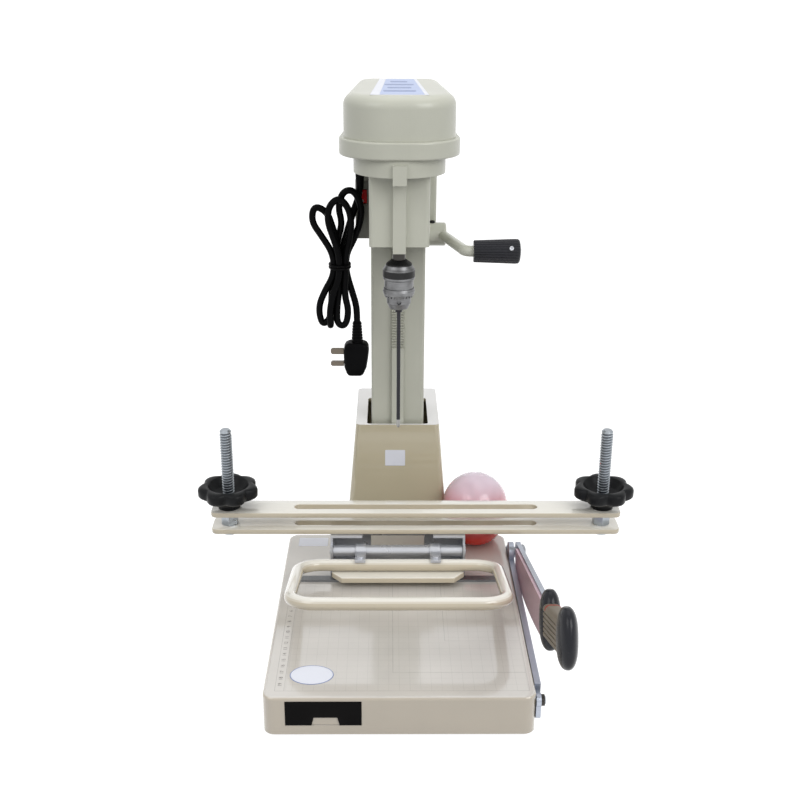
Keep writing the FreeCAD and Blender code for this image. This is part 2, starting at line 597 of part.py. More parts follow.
def spindle():
    nose_r, shoulder_r, drive_r = 6.5, 9.0, ROTOR_BORE
    seat_end = LOWER_SEAT + BEARING_W
    return turned([(0, SPINDLE_SHOULDER), (nose_r, SPINDLE_SHOULDER), (nose_r, LOWER_SEAT - 6),
                   (BEARING_IN, LOWER_SEAT - 4), (BEARING_IN, seat_end), (shoulder_r, seat_end + 1),
                   (shoulder_r, UPPER_SEAT - 1), (BEARING_IN, UPPER_SEAT), (BEARING_IN, HEAD_TOP + 2),
                   (drive_r, HEAD_TOP + 2), (drive_r, SPINDLE_TOP), (0, SPINDLE_TOP)])


def chuck_body():
    """Black shoulder, silver neck band and the tapered nose with its three key holes."""
    z = CHUCK_SHOULDER
    body = turned([(0, z), (CHUCK_R - 1.5, z), (CHUCK_R - 1.5, z + 8.5), (CHUCK_R, z + 9.5),
                   (CHUCK_R, z + 19), (CHUCK_R - 1.5, z + 21), (CHUCK_R - 3.5, z + 25),
                   (CHUCK_R - 8.5, z + 28.9), (0, z + 28.9)])
    nose_r = CHUCK_R - 4.0
    nose = turned([(JAW_R + 0.1, CHUCK_BOTTOM), (nose_r - 3, CHUCK_BOTTOM), (nose_r, CHUCK_BOTTOM + 6),
                   (nose_r, z), (JAW_R + 0.1, z)])
    body = body.fuse(nose)
    for turn in (30, 150, 270):
        heading = V(math.cos(math.radians(turn)), math.sin(math.radians(turn)), 0)
        start = heading * (nose_r - 3.9) + V(0, 0, CHUCK_BOTTOM + 8.5)
        body = body.cut(Part.makeCylinder(KEY_HOLE_R, 6, start, heading))
    return body


def chuck_sleeve():
    """The key ring, with bevel teeth cut round its lower edge."""
    z, bore = CHUCK_BOTTOM + 12.5, CHUCK_R - 3.9
    teeth = 24
    sleeve = turned([(bore, z), (CHUCK_R - 1.9, z), (CHUCK_R - 0.5, z + 3.5), (CHUCK_R, z + 6.5),
                     (CHUCK_R - 0.9, z + 9.3), (bore, z + 9.3)])
    for index in range(teeth):
        cutter = box(CHUCK_R - 3.1, CHUCK_R + 1.5, -0.8, 0.8, z - 1.5, z + 2.3)
        cutter.rotate(V(0, 0, 0), Z_AXIS, 360.0 * index / teeth)
        sleeve = sleeve.cut(cutter)
    return sleeve


def chuck_jaws():
    top = CHUCK_SHOULDER - 2.0
    core = turned([(BIT_R, JAW_BOTTOM), (BIT_R + 1.4, JAW_BOTTOM), (JAW_R, CHUCK_BOTTOM + 1), (JAW_R, top),
                   (BIT_R, top)])
    gaps = []
    for turn in (0, 120, 240):
        gap = box(0, JAW_R + 3, -0.3, 0.3, JAW_BOTTOM - 1, top + 1)
        gap.rotate(V(0, 0, 0), Z_AXIS, turn)
        gaps.append(gap)
    return core.cut(gaps)


def drill_bit():
    """A hollow paper drill with a bevelled cutting edge."""
    top = CHUCK_SHOULDER - 4.0
    bore, bore_end = 1.3, BIT_TIP + 58.0
    return turned([(bore + 0.1, BIT_TIP), (BIT_R, BIT_TIP + 2.5), (BIT_R, top), (0, top), (0, bore_end + 2),
                   (bore, bore_end)])


def feed_hub():
    hub = chamfer_end_x(round_x(FEED_Y, FEED_Z, HUB_R, HUB_X0, HUB_X1), HUB_X1, 1.5)
    return hub.cut(round_x(FEED_Y, FEED_Z, FEED_SHAFT_R, HUB_X0 - 1, HUB_X1 - 3))


def feed_arm():
    """A round bar from the hub that bends outwards into the grip."""
    start = V(ARM_X0, FEED_Y - 3, FEED_Z)
    corner = V(ARM_CORNER_X, GRIP_Y, GRIP_Z)
    path = route_path([start, corner, V(GRIP_X0 + GRIP_SOCKET, GRIP_Y, GRIP_Z)], [ARM_BEND_R])
    return tube(path, ARM_R, "feed_arm").cut(round_x(FEED_Y, FEED_Z, HUB_R, HUB_X0, HUB_X1 + 6))


def feed_grip():
    length = GRIP_X1 - GRIP_X0
    flutes, flute_r = 14, 1.6
    grip = turned([(0, 0), (GRIP_R0 - 1.5, 0), (GRIP_R0, 1.5), (GRIP_R1, length - 3),
                   (GRIP_R1 - 3, length), (0, length)])
    for index in range(flutes):
        angle = 2 * math.pi * index / flutes
        reach = GRIP_R1 + 0.6
        at = V(reach * math.cos(angle), reach * math.sin(angle), 5)
        grip = grip.cut(Part.makeCylinder(flute_r, length - 12, at))
    grip.rotate(V(0, 0, 0), Y_AXIS, 90)
    grip.translate(V(GRIP_X0, GRIP_Y, GRIP_Z))
    return grip.cut(round_x(GRIP_Y, GRIP_Z, ARM_R, GRIP_X0 - 1, GRIP_X0 + GRIP_SOCKET))


def rocker_block(grow, y0, y1):
    """A block round the rocker's outline, larger by grow all round."""
    half_x, half_z = ROCKER_W / 2.0 + grow, ROCKER_H / 2.0 + grow
    return box(ROCKER_X - half_x, ROCKER_X + half_x, y0, y1, ROCKER_Z - half_z, ROCKER_Z + half_z)


def trunnion(grow):
    """The rocker's axle, or with a larger grow its bores in the box."""
    half = ROCKER_W / 2.0 + 1.2 + 2 * grow
    return round_x(TRUNNION_Y, ROCKER_Z, TRUNNION_R + grow, ROCKER_X - half, ROCKER_X + half)


def switch_box():
    case = box(SWITCH_X0, SWITCH_X1, SWITCH_Y0, SWITCH_Y1, SWITCH_Z0, SWITCH_Z1)
    upright = [e for e in case.Edges if e.BoundBox.ZLength > 30 and abs(e.BoundBox.XMin - SWITCH_X0) < 0.1]
    case = case.makeFillet(2.5, upright)
    case = case.fuse(rocker_block(1.5, SWITCH_Y0 - 0.8, SWITCH_Y0 + 1))
    return case.cut(rocker_block(SLIDE_GAP, SWITCH_Y0 - 2, SWITCH_Y0 + 9)).cut(trunnion(RUN_GAP))


def switch_rocker():
    """Pivots on its axle behind its face. The lower half stands proud."""
    half = ROCKER_H / 2.0 - 0.4
    rear = SWITCH_Y0 + 5.5
    outline = [(SWITCH_Y0 - 2.6, ROCKER_Z - half + 0.6), (SWITCH_Y0 - 0.6, ROCKER_Z),
               (SWITCH_Y0 + 0.2, ROCKER_Z + half - 0.4), (rear, ROCKER_Z + half - 2.5),
               (rear, ROCKER_Z - half + 2.5)]
    key = polygon_prism_x(outline, ROCKER_X - ROCKER_W / 2, ROCKER_X + ROCKER_W / 2)
    return key.fuse(trunnion(0.0))


# ---------------------------------------------------------------- mains lead

def cord_gland():
    """A nut under the collar and a tapered sleeve that guides the lead down."""
    nut = round_z(GLAND_X, GLAND_Y, GLAND_R, HEAD_TOP - GLAND_H, HEAD_TOP)
    length = HEAD_TOP - GLAND_H - GLAND_END
    relief = Part.makeCone(CORD_R + 0.3, GLAND_R - 0.4, length, V(GLAND_X, GLAND_Y, GLAND_END), Z_AXIS)
    return nut.fuse(relief)


def cord_hank():
    """The folded lead as one closed solid that fills the loops' outline."""
    wires = []
    for z, x, half_x, half_y in HANK_SECTIONS:
        turns = [2 * math.pi * side / HANK_SIDES for side in range(HANK_SIDES)]
        points = [V(x + half_x * math.cos(a), HANK_Y + half_y * math.sin(a), z) for a in turns]
        wires.append(Part.makePolygon(points + points[:1]))
    return Part.makeLoft(wires, True, True)


def cord_tie():
    """A wire tie round the hank's waist."""
    z0 = TIE_Z - TIE_W / 2
    return round_z(TIE_X, HANK_Y, TIE_OUT, z0, z0 + TIE_W).cut(
        round_z(TIE_X, HANK_Y, TIE_IN, z0 - 1, z0 + TIE_W + 1))


def plug_body():
    body = box(PLUG_X - PLUG_HALF, PLUG_X + PLUG_HALF, HANK_Y - PLUG_HALF_DEPTH, HANK_Y + PLUG_HALF_DEPTH,
               PLUG_BOTTOM, PLUG_TOP)
    body = body.makeFillet(5.0, body.Edges)
    neck_x, neck_z = TAIL_ROUTE[-1].x, TAIL_ROUTE[-1].z
    neck = Part.makeCone(6.0, CORD_R + 0.5, neck_z - PLUG_TOP + 6, V(neck_x, HANK_Y, PLUG_TOP - 6), Z_AXIS)
    return body.fuse(neck)


def plug_pins():
    x1 = PLUG_X - PLUG_HALF
    return Part.makeCompound([box(x1 - PIN_LENGTH, x1, HANK_Y - PIN_HALF_W, HANK_Y + PIN_HALF_W,
                                  z - PIN_HALF_T, z + PIN_HALF_T) for z in PIN_Z])


def handle_tang(rear):
    """The flat tang inside the grip, from its tip to rear behind the arm's front end."""
    front = PIVOT_Y - ARM_LENGTH
    return box(BLADE_X1, ARM_X1, front - TANG_LENGTH, front + rear,
               PIVOT_Z - TANG_HALF_H, PIVOT_Z + TANG_HALF_H)


# ---------------------------------------------------------------- trimmer

def tilted(shape):
    shape.rotate(V(0, PIVOT_Y, PIVOT_Z), V(-1, 0, 0), ARM_TILT)
    return shape


def bent(shape):
    shape.rotate(V(0, PIVOT_Y - ARM_LENGTH, PIVOT_Z), V(-1, 0, 0), HANDLE_BEND)
    return tilted(shape)


def cutter_arm():
    front = PIVOT_Y - ARM_LENGTH
    bar = box(BLADE_X1, ARM_X1, front, PIVOT_Y, PIVOT_Z - ARM_HALF_H, PIVOT_Z + ARM_HALF_H)
    bar = bar.fuse(round_x(PIVOT_Y, PIVOT_Z, PIVOT_EYE_R, BLADE_X1, ARM_X1))
    bar = bar.cut(round_x(PIVOT_Y, PIVOT_Z, PIVOT_R + RUN_GAP, BLADE_X1 - 1, ARM_X1 + 1))
    return tilted(bar).fuse(bent(handle_tang(4.0))).removeSplitter()


def cutter_blade():
    """A long blade with a bellied lower edge."""
    top = PIVOT_Z + ARM_HALF_H - 2
    rear, front = PIVOT_Y - BLADE_D0, PIVOT_Y - BLADE_D1
    low = PIVOT_Z - BLADE_DROP
    heel, toe = V(BLADE_X0, rear, low + 7), V(BLADE_X0, front, low + 4)
    belly = V(BLADE_X0, (rear + front) / 2, low)
    edge = Part.Arc(heel, belly, toe).toShape()
    sides = Part.makePolygon([toe, V(BLADE_X0, front, top), V(BLADE_X0, rear, top), heel])
    blade = Part.Face(Part.Wire([edge] + sides.Edges)).extrude(V(BLADE_X1 - BLADE_X0, 0, 0))
    return tilted(blade)


def handle_lobe(distance, half_x, half_y, half_z):
    """An egg with slightly full sides, lofted through ellipses that stand one over another."""
    y = PIVOT_Y - ARM_LENGTH - distance
    wires = []
    for station in LOBE_STATIONS:
        share = (1 - abs(station) ** LOBE_POWER) ** (1 / LOBE_POWER)
        centre = V(HANDLE_X, y, PIVOT_Z + station * half_z)
        ellipse = Part.Ellipse(centre + V(0, half_y * share, 0), centre + V(half_x * share, 0, 0), centre)
        wires.append(Part.Wire(ellipse.toShape()))
    return Part.makeLoft(wires, True, False)


def cutter_handle_lobes():
    return Part.makeCompound([bent(handle_lobe(*lobe).cut(handle_tang(40.0))) for lobe in LOBES])


def cutter_handle_waist():
    """Centre of the grip between the two lobes, with grooves along both of its sides."""
    y0 = PIVOT_Y - ARM_LENGTH - LOBES[1][0]
    y1 = PIVOT_Y - ARM_LENGTH - LOBES[0][0]
    waist = box(HANDLE_X - WAIST_HALF_X, HANDLE_X + WAIST_HALF_X, y0, y1,
                PIVOT_Z - WAIST_HALF_H, PIVOT_Z + WAIST_HALF_H)
    waist = waist.makeFillet(5.0, [e for e in waist.Edges if e.BoundBox.YLength > 50])
    grooves = []
    for step in range(-WAIST_GROOVES // 2 + 1, WAIST_GROOVES // 2 + 1):
        z = PIVOT_Z + step * WAIST_PITCH
        for side in (-1, 1):
            x = HANDLE_X + side * WAIST_HALF_X
            grooves.append(box(x - WAIST_GROOVE, x + WAIST_GROOVE, y0, y1, z - WAIST_GROOVE, z + WAIST_GROOVE))
    return bent(waist.cut(grooves + [handle_tang(40.0)] + [handle_lobe(*lobe) for lobe in LOBES]))


def pivot_bolt():
    head_x0, head_x1 = ARM_X1 + SLIDE_GAP, ARM_X1 + 4.5
    shank = round_x(PIVOT_Y, PIVOT_Z, PIVOT_R, BED_HALF + 0.2, head_x0 + 0.2)
    return shank.fuse(chamfer_end_x(round_x(PIVOT_Y, PIVOT_Z, PIVOT_HEAD_R, head_x0, head_x1), head_x1, 1.0))


def blade_screw(y, x0, x1):
    return round_x(y, BLADE_SCREWS_Z, BLADE_SCREW_R, x0, x1)


def fixed_blade():
    x1 = BED_HALF + FIXED_BLADE_T
    strip = box(BED_HALF, x1, FIXED_BLADE_FRONT, FIXED_BLADE_REAR, FIXED_BLADE_Z0, FIXED_BLADE_Z1)
    strip = strip.fuse(round_x(PIVOT_Y, PIVOT_Z, PIVOT_EYE_R, BED_HALF + 0.2, x1))
    strip = strip.cut(round_x(PIVOT_Y, PIVOT_Z, PIVOT_R, BED_HALF - 1, x1 + 1))
    return strip.cut([blade_screw(y, BED_HALF - 1, x1 + 1) for y in BLADE_SCREWS_Y])


def fixed_blade_screws():
    x1 = BED_HALF + FIXED_BLADE_T - 0.2
    return Part.makeCompound([blade_screw(y, BED_HALF, x1) for y in BLADE_SCREWS_Y])


def cutter_latch():
    tip_z = LATCH_Z - LATCH_LENGTH + LATCH_TIP_R
    strip = box(LATCH_X0, LATCH_X1, LATCH_Y - LATCH_TIP_R, LATCH_Y + LATCH_TIP_R, tip_z, LATCH_Z)
    eye = round_x(LATCH_Y, LATCH_Z, LATCH_EYE_R, LATCH_X0, LATCH_X1)
    tip = round_x(LATCH_Y, tip_z, LATCH_TIP_R, LATCH_X0, LATCH_X1)
    bore = round_x(LATCH_Y, LATCH_Z, LATCH_PIN_R + RUN_GAP, LATCH_X0 - 1, LATCH_X1 + 1)
    return strip.fuse([eye, tip]).cut(bore).removeSplitter()


def latch_bolt():
    head_x0 = LATCH_X1 + SLIDE_GAP
    shank = round_x(LATCH_Y, LATCH_Z, LATCH_PIN_R, BED_HALF, head_x0 + 0.2)
    return shank.fuse(round_x(LATCH_Y, LATCH_Z, LATCH_HEAD_R, head_x0, head_x0 + 3.0))


# ---------------------------------------------------------------- press

def press_bracket():
    """A folded rear plate with two forward wings over the barrels and an end web each side."""
    wing_z1 = BRACKET_TOP - SLIDE_GAP
    wing_z0 = wing_z1 - BRACKET_T
    inner_x = BRACKET_HALF - BRACKET_T
    rear = box(-BRACKET_HALF, BRACKET_HALF, BRACKET_REAR - BRACKET_T, BRACKET_REAR, 0, wing_z1)
    folds = []
    for side in (-1, 1):
        folds.append(side_box(side, WING_X0, BRACKET_HALF, WING_FRONT, BRACKET_REAR, wing_z0, wing_z1))
        folds.append(side_box(side, inner_x, BRACKET_HALF, WEB_FRONT, BRACKET_REAR, 0, WEB_TOP))
        folds.append(side_box(side, inner_x, BRACKET_HALF, WING_FRONT, BRACKET_REAR, WEB_TOP - 1, wing_z1))
        folds.append(side_box(side, WING_X0 + 8, BRACKET_HALF, WEB_FRONT, BRACKET_REAR, 0, BRACKET_T))
    bore = round_x(PRESS_Y, PRESS_Z, PRESS_SHAFT_R, -BRACKET_HALF - 1, BRACKET_HALF + 1)
    window = box(-WINDOW_HALF, WINDOW_HALF, 0, BRACKET_REAR + 1, WINDOW_Z0, WINDOW_Z1)
    return rear.fuse(folds).cut([bore, window]).removeSplitter()


def sleeve_x(outer, x0, x1):
    body = round_x(PRESS_Y, PRESS_Z, outer, x0, x1)
    return body.cut(round_x(PRESS_Y, PRESS_Z, PRESS_SHAFT_R + RUN_GAP, x0 - 1, x1 + 1))


def press_barrels():
    return both(lambda side: sleeve_x(BARREL_R, *sorted((side * BARREL_X0, side * BARREL_X1))))


def press_arms():
    def arm(side):
        x0, x1 = sorted((side * PRESS_ARM_X0, side * PRESS_ARM_X1))
        eye = round_x(PRESS_Y, PRESS_Z, ARM_EYE_R, x0, x1)
        tongue = box(x0, x1, LOOP_REAR[0] - 7, PRESS_Y, TONGUE_Z, TONGUE_Z + TONGUE_T)
        bore = round_x(PRESS_Y, PRESS_Z, PRESS_SHAFT_R + RUN_GAP, x0 - 1, x1 + 1)
        return eye.fuse(tongue).cut([bore] + screw_room(TONGUE_Z - 1, TONGUE_Z + TONGUE_T + 1))
    return both(arm)


def press_screws():
    top = TONGUE_Z + TONGUE_T

    def screw(side):
        x = side * PRESS_ARM_X
        shank = round_z(x, LOOP_REAR[0], SCREW_R, PRESS_PLATE_Z0 + SCREW_BITE, top + 0.5)
        return shank.fuse(round_z(x, LOOP_REAR[0], SCREW_HEAD_R, top, top + 2.2))
    return both(screw)


def screw_room(z0, z1):
    return [round_z(side * PRESS_ARM_X, LOOP_REAR[0], SCREW_R, z0, z1) for side in (-1, 1)]


def press_handle():
    """A closed loop of round bar, tilted up towards the operator."""
    reach, rise = LOOP_REAR[0] - LOOP_FRONT[0], LOOP_FRONT[1] - LOOP_REAR[1]
    wire = plan_face(LOOP_HALF, -math.hypot(reach, rise), 0, LOOP_CORNER, LOOP_CORNER, 0).OuterWire
    first = wire.OrderedEdges[0]
    start, heading = first.firstVertex(True).Point, first.tangentAt(first.FirstParameter)
    section = Part.Wire(Part.Circle(start, heading, LOOP_TUBE_R).toShape())
    loop = wire.makePipeShell([section], True, False)
    expected = math.pi * LOOP_TUBE_R ** 2 * wire.Length
    print("press_handle volume over section x length:", round(loop.Volume / expected, 4))
    loop.rotate(V(0, 0, 0), V(-1, 0, 0), math.degrees(math.atan2(rise, reach)))
    loop.translate(V(0, LOOP_REAR[0], LOOP_REAR[1]))
    return loop.cut(screw_room(0, LOOP_FRONT[1]))


def press_plate():
    half, side_y = PRESS_PLATE_HALF, PRESS_PLATE_REAR - PRESS_PLATE_SIDE
    inner = half - PRESS_PLATE_CORNER
    outline = [(-half, PRESS_PLATE_REAR), (-half, side_y), (-inner, PRESS_PLATE_FRONT),
               (inner, PRESS_PLATE_FRONT), (half, side_y), (half, PRESS_PLATE_REAR)]
    points = [V(x, y, PRESS_PLATE_Z0) for x, y in outline + outline[:1]]
    plate = prism(Part.Face(Part.makePolygon(points)), PRESS_PLATE_Z1 - PRESS_PLATE_Z0)
    plate = fillet_at(plate, PRESS_PLATE_Z1, 1.5)
    return plate.cut(screw_room(PRESS_PLATE_Z0 + SCREW_BITE, PRESS_PLATE_Z1 + 1))


# ---------------------------------------------------------------- clamp

def stadium(half, radius, z0, z1):
    reach = half - radius
    face = hull_face([(CARRIAGE_X - reach, 0, radius), (CARRIAGE_X + reach, 0, radius)], z0)
    return prism(face, z1 - z0)


def clamp_bar(z0, rod_gap):
    top = z0 + BAR_T
    bar = stadium(BAR_HALF, BAR_R, z0, top)
    bar = fillet_at(fillet_at(bar, top, 1.5), z0, 1.0)
    holes = [round_z(CARRIAGE_X + side * ROD_X, 0, ROD_R + rod_gap, z0 - 1, top + 1) for side in (-1, 1)]
    return bar.cut([stadium(BAR_SLOT_HALF, BAR_SLOT_R, z0 - 1, top + 1)] + holes)


def clamp_rods():
    head_z = LOWER_BAR_Z - ROD_HEAD_H

    def rod(side):
        return turned([(0, head_z), (ROD_HEAD_R, head_z), (ROD_HEAD_R, LOWER_BAR_Z), (ROD_R, LOWER_BAR_Z),
                       (ROD_R, ROD_TOP - 1.5), (ROD_R - 1.5, ROD_TOP), (0, ROD_TOP)],
                      CARRIAGE_X + side * ROD_X, 0)
    return both(rod)


def clamp_nuts():
    """A flanged hexagon nut on each rod, between the bars."""
    z0 = LOWER_BAR_Z + BAR_T

    def nut(side):
        x = CARRIAGE_X + side * ROD_X
        turns = [math.radians(60 * corner) for corner in range(6)]
        corners = [V(x + NUT_R * math.cos(a), NUT_R * math.sin(a), z0 + WASHER_T) for a in turns]
        body = prism(Part.Face(Part.makePolygon(corners + corners[:1])), BAR_GAP - WASHER_T)
        body = body.fuse(round_z(x, 0, WASHER_R, z0, z0 + WASHER_T))
        return body.cut(round_z(x, 0, ROD_R, z0 - 1, z0 + BAR_GAP + 1))
    return both(nut)


def star_face(z):
    """Round lobes joined by tangent hollows."""
    reach = KNOB_R - KNOB_LOBE_R
    half_step = math.pi / KNOB_LOBES
    spread = KNOB_LOBE_R + KNOB_HOLLOW_R
    hollow_reach = reach * math.cos(half_step) + math.sqrt(spread ** 2 - (reach * math.sin(half_step)) ** 2)

    def at(distance, turn):
        return V(distance * math.cos(turn), distance * math.sin(turn), z)

    def touch(middle, side):
        lobe, hollow = at(reach, middle), at(hollow_reach, middle + side * half_step)
        return lobe + (hollow - lobe) * (KNOB_LOBE_R / spread)
    edges = []
    for index in range(KNOB_LOBES):
        middle = 2 * half_step * index + math.pi / 2
        leave = touch(middle, 1)
        valley = at(hollow_reach - KNOB_HOLLOW_R, middle + half_step)
        edges.append(Part.Arc(touch(middle, -1), at(KNOB_R, middle), leave).toShape())
        edges.append(Part.Arc(leave, valley, touch(middle + 2 * half_step, -1)).toShape())
    return Part.Face(Part.Wire(edges))


def star_knob(x):
    """Seven lobes round a dished disc, on a conical hub that bears on the bar."""
    z_rim, z_top = KNOB_Z + KNOB_HUB_H, KNOB_Z + KNOB_H
    knob = prism(star_face(z_rim), z_top - z_rim)
    knob = chamfer_at(chamfer_at(knob, z_top, 2.5), z_rim, 1.5)
    floor = z_top - DISH_DEPTH
    dish = turned([(0, floor), (DISH_FLOOR_R, floor), (DISH_R, z_top + 0.5), (0, z_top + 0.5)])
    hub = turned([(0, KNOB_Z), (KNOB_HUB_R, KNOB_Z), (KNOB_HUB_R, KNOB_Z + 3), (KNOB_CONE_R, z_rim + 0.5),
                  (0, z_rim + 0.5)])
    bore = round_z(0, 0, ROD_R + RUN_GAP, KNOB_Z - 1, z_top + 1)
    return knob.cut(dish).fuse(hub).cut(bore).removeSplitter().translated(V(x, 0, 0))


def chip_jar():
    """A closed egg-shaped jar on a flat foot."""
    foot, belly, top = V(JAR_FOOT_R, 0, 0), V(JAR_R, 0, JAR_BELLY_Z), V(0, 0, JAR_TOP)
    inset = JAR_R - JAR_FOOT_R
    side_r = (inset ** 2 + JAR_BELLY_Z ** 2) / (2 * inset)
    half_turn = math.asin(JAR_BELLY_Z / side_r) / 2.0
    middle = belly + V(side_r * (math.cos(half_turn) - 1), 0, -side_r * math.sin(half_turn))
    crown = Part.ArcOfEllipse(Part.Ellipse(top, belly, V(0, 0, JAR_BELLY_Z)), 0, math.pi / 2)
    edges = [Part.LineSegment(V(0, 0, 0), foot), Part.Arc(foot, middle, belly), crown,
             Part.LineSegment(top, V(0, 0, 0))]
    outer = Part.Face(Part.Wire([edge.toShape() for edge in edges])).revolve(V(0, 0, 0), Z_AXIS, 360)
    wall = JAR_WALL
    inner = turned([(0, wall), (JAR_FOOT_R - wall, wall), (JAR_R - 3 * wall, JAR_BELLY_Z * 0.42),
                    (JAR_R - wall, JAR_BELLY_Z), (JAR_R * 0.6, JAR_TOP - 7 * wall),
                    (JAR_R * 0.3, JAR_TOP - 3 * wall), (0, JAR_TOP - 2 * wall)])
    return outer.cut(inner).translated(V(JAR_X, JAR_Y, 0))


def base_plate():
    return prism(plan_face(PLATE_HALF, PLATE_FRONT, PLATE_REAR, 6, 6, BED_BOTTOM), PLATE_T)


def build():
    save("bed_shell", bed_shell())
    save("rubber_feet", rubber_feet())
    save("accessory_drawer", drawer())
    save("drawer_pull", drawer_pull())
    save("backstop_rule", box(-RULE_HALF, RULE_HALF, RULE_FRONT, RULE_REAR, 0, RULE_TOP))
    save("base_plate", base_plate())
    save("column_housing", housing())
    save("column", column())
    save("feed_rack", rack())
    save("pinion_shaft", pinion_shaft())
    save("return_spring", return_spring())
    save("head_body", head_body())
    save("head_collar", head_collar())
    save("cover_base", cover_base())
    save("cover_dome", cover_dome())
    save("motor_stator", ring(MOTOR_R, MOTOR_BORE, HEAD_TOP, MOTOR_TOP))
    save("motor_rotor", ring(ROTOR_R, ROTOR_BORE, HEAD_TOP + 4, MOTOR_TOP - 3))
    save("lower_bearing", bearing(LOWER_SEAT))
    save("upper_bearing", bearing(UPPER_SEAT))
    save("spindle", spindle())
    save("chuck_body", chuck_body())
    save("chuck_sleeve", chuck_sleeve())
    save("chuck_jaws", chuck_jaws())
    save("drill_bit", drill_bit())
    save("feed_hub", feed_hub())
    save("feed_arm", feed_arm())
    save("feed_grip", feed_grip())
    save("switch_box", switch_box())
    save("switch_rocker", switch_rocker())
    save("cord_gland", cord_gland())
    save("cord_lead", cord_tube(LEAD_ROUTE, "cord_lead"))
    save("cord_hank", cord_hank())
    save("cord_tail", cord_tube(TAIL_ROUTE, "cord_tail"))
    save("cord_tie", cord_tie())
    save("plug_body", plug_body())
    save("plug_pins", plug_pins())
    save("fixed_blade", fixed_blade())
    save("fixed_blade_screws", fixed_blade_screws())
    save("cutter_pivot_bolt", pivot_bolt())
    save("cutter_arm", cutter_arm())
    save("cutter_blade", cutter_blade())
    save("cutter_handle_lobes", cutter_handle_lobes())
    save("cutter_handle_waist", cutter_handle_waist())
    save("cutter_latch", cutter_latch())
    save("latch_bolt", latch_bolt())
    save("press_bracket", press_bracket())
    save("press_shaft", round_x(PRESS_Y, PRESS_Z, PRESS_SHAFT_R, -BRACKET_HALF - 1, BRACKET_HALF + 1))
    save("press_barrels", press_barrels())
    save("press_tube", sleeve_x(BARREL_R, -PRESS_ARM_X0, PRESS_ARM_X0))
    save("press_arms", press_arms())
    save("press_handle", press_handle())
    save("press_plate", press_plate())
    save("press_screws", press_screws())
    save("clamp_lower_bar", clamp_bar(LOWER_BAR_Z, 0.0))
    save("clamp_upper_bar", clamp_bar(UPPER_BAR_Z, SLIDE_GAP))
    save("clamp_rods", clamp_rods())
    save("clamp_nuts", clamp_nuts())
    save("knob_left", star_knob(CARRIAGE_X - ROD_X))
    save("knob_right", star_knob(CARRIAGE_X + ROD_X))
    save("chip_jar", chip_jar())


build()
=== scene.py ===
import json
import math

import bmesh
import bpy
from mathutils import Matrix, Vector

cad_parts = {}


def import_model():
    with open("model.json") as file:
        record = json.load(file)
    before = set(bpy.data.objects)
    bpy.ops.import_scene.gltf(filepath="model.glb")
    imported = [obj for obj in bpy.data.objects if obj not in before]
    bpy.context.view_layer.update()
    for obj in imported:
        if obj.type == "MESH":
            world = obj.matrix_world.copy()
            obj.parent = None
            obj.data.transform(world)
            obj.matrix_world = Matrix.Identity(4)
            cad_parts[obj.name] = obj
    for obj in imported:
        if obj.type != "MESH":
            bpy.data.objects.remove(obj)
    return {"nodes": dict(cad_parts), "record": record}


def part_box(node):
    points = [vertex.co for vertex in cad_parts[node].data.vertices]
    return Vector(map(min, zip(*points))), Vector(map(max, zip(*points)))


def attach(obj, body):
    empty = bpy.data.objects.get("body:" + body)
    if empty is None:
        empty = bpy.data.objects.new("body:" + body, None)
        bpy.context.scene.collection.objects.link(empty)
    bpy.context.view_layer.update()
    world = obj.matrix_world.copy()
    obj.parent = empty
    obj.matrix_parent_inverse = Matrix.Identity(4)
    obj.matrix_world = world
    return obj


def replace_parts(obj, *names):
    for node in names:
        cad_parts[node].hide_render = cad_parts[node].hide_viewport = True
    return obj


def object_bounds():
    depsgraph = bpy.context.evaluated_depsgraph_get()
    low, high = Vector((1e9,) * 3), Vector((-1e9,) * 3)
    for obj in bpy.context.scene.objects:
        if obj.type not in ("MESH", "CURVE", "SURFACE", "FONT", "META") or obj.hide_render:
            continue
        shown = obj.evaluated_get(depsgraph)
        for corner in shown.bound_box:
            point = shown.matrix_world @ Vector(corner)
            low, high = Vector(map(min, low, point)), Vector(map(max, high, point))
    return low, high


# A desk paper drill. Metres, +Z up, -Y towards the operator, origin on the bed's top face
# under the axis of the drill.

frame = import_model()
cad_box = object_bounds()
MM = 0.001
nodes = frame["nodes"]

# ---------------------------------------------------------------- sizes of the pieces made here

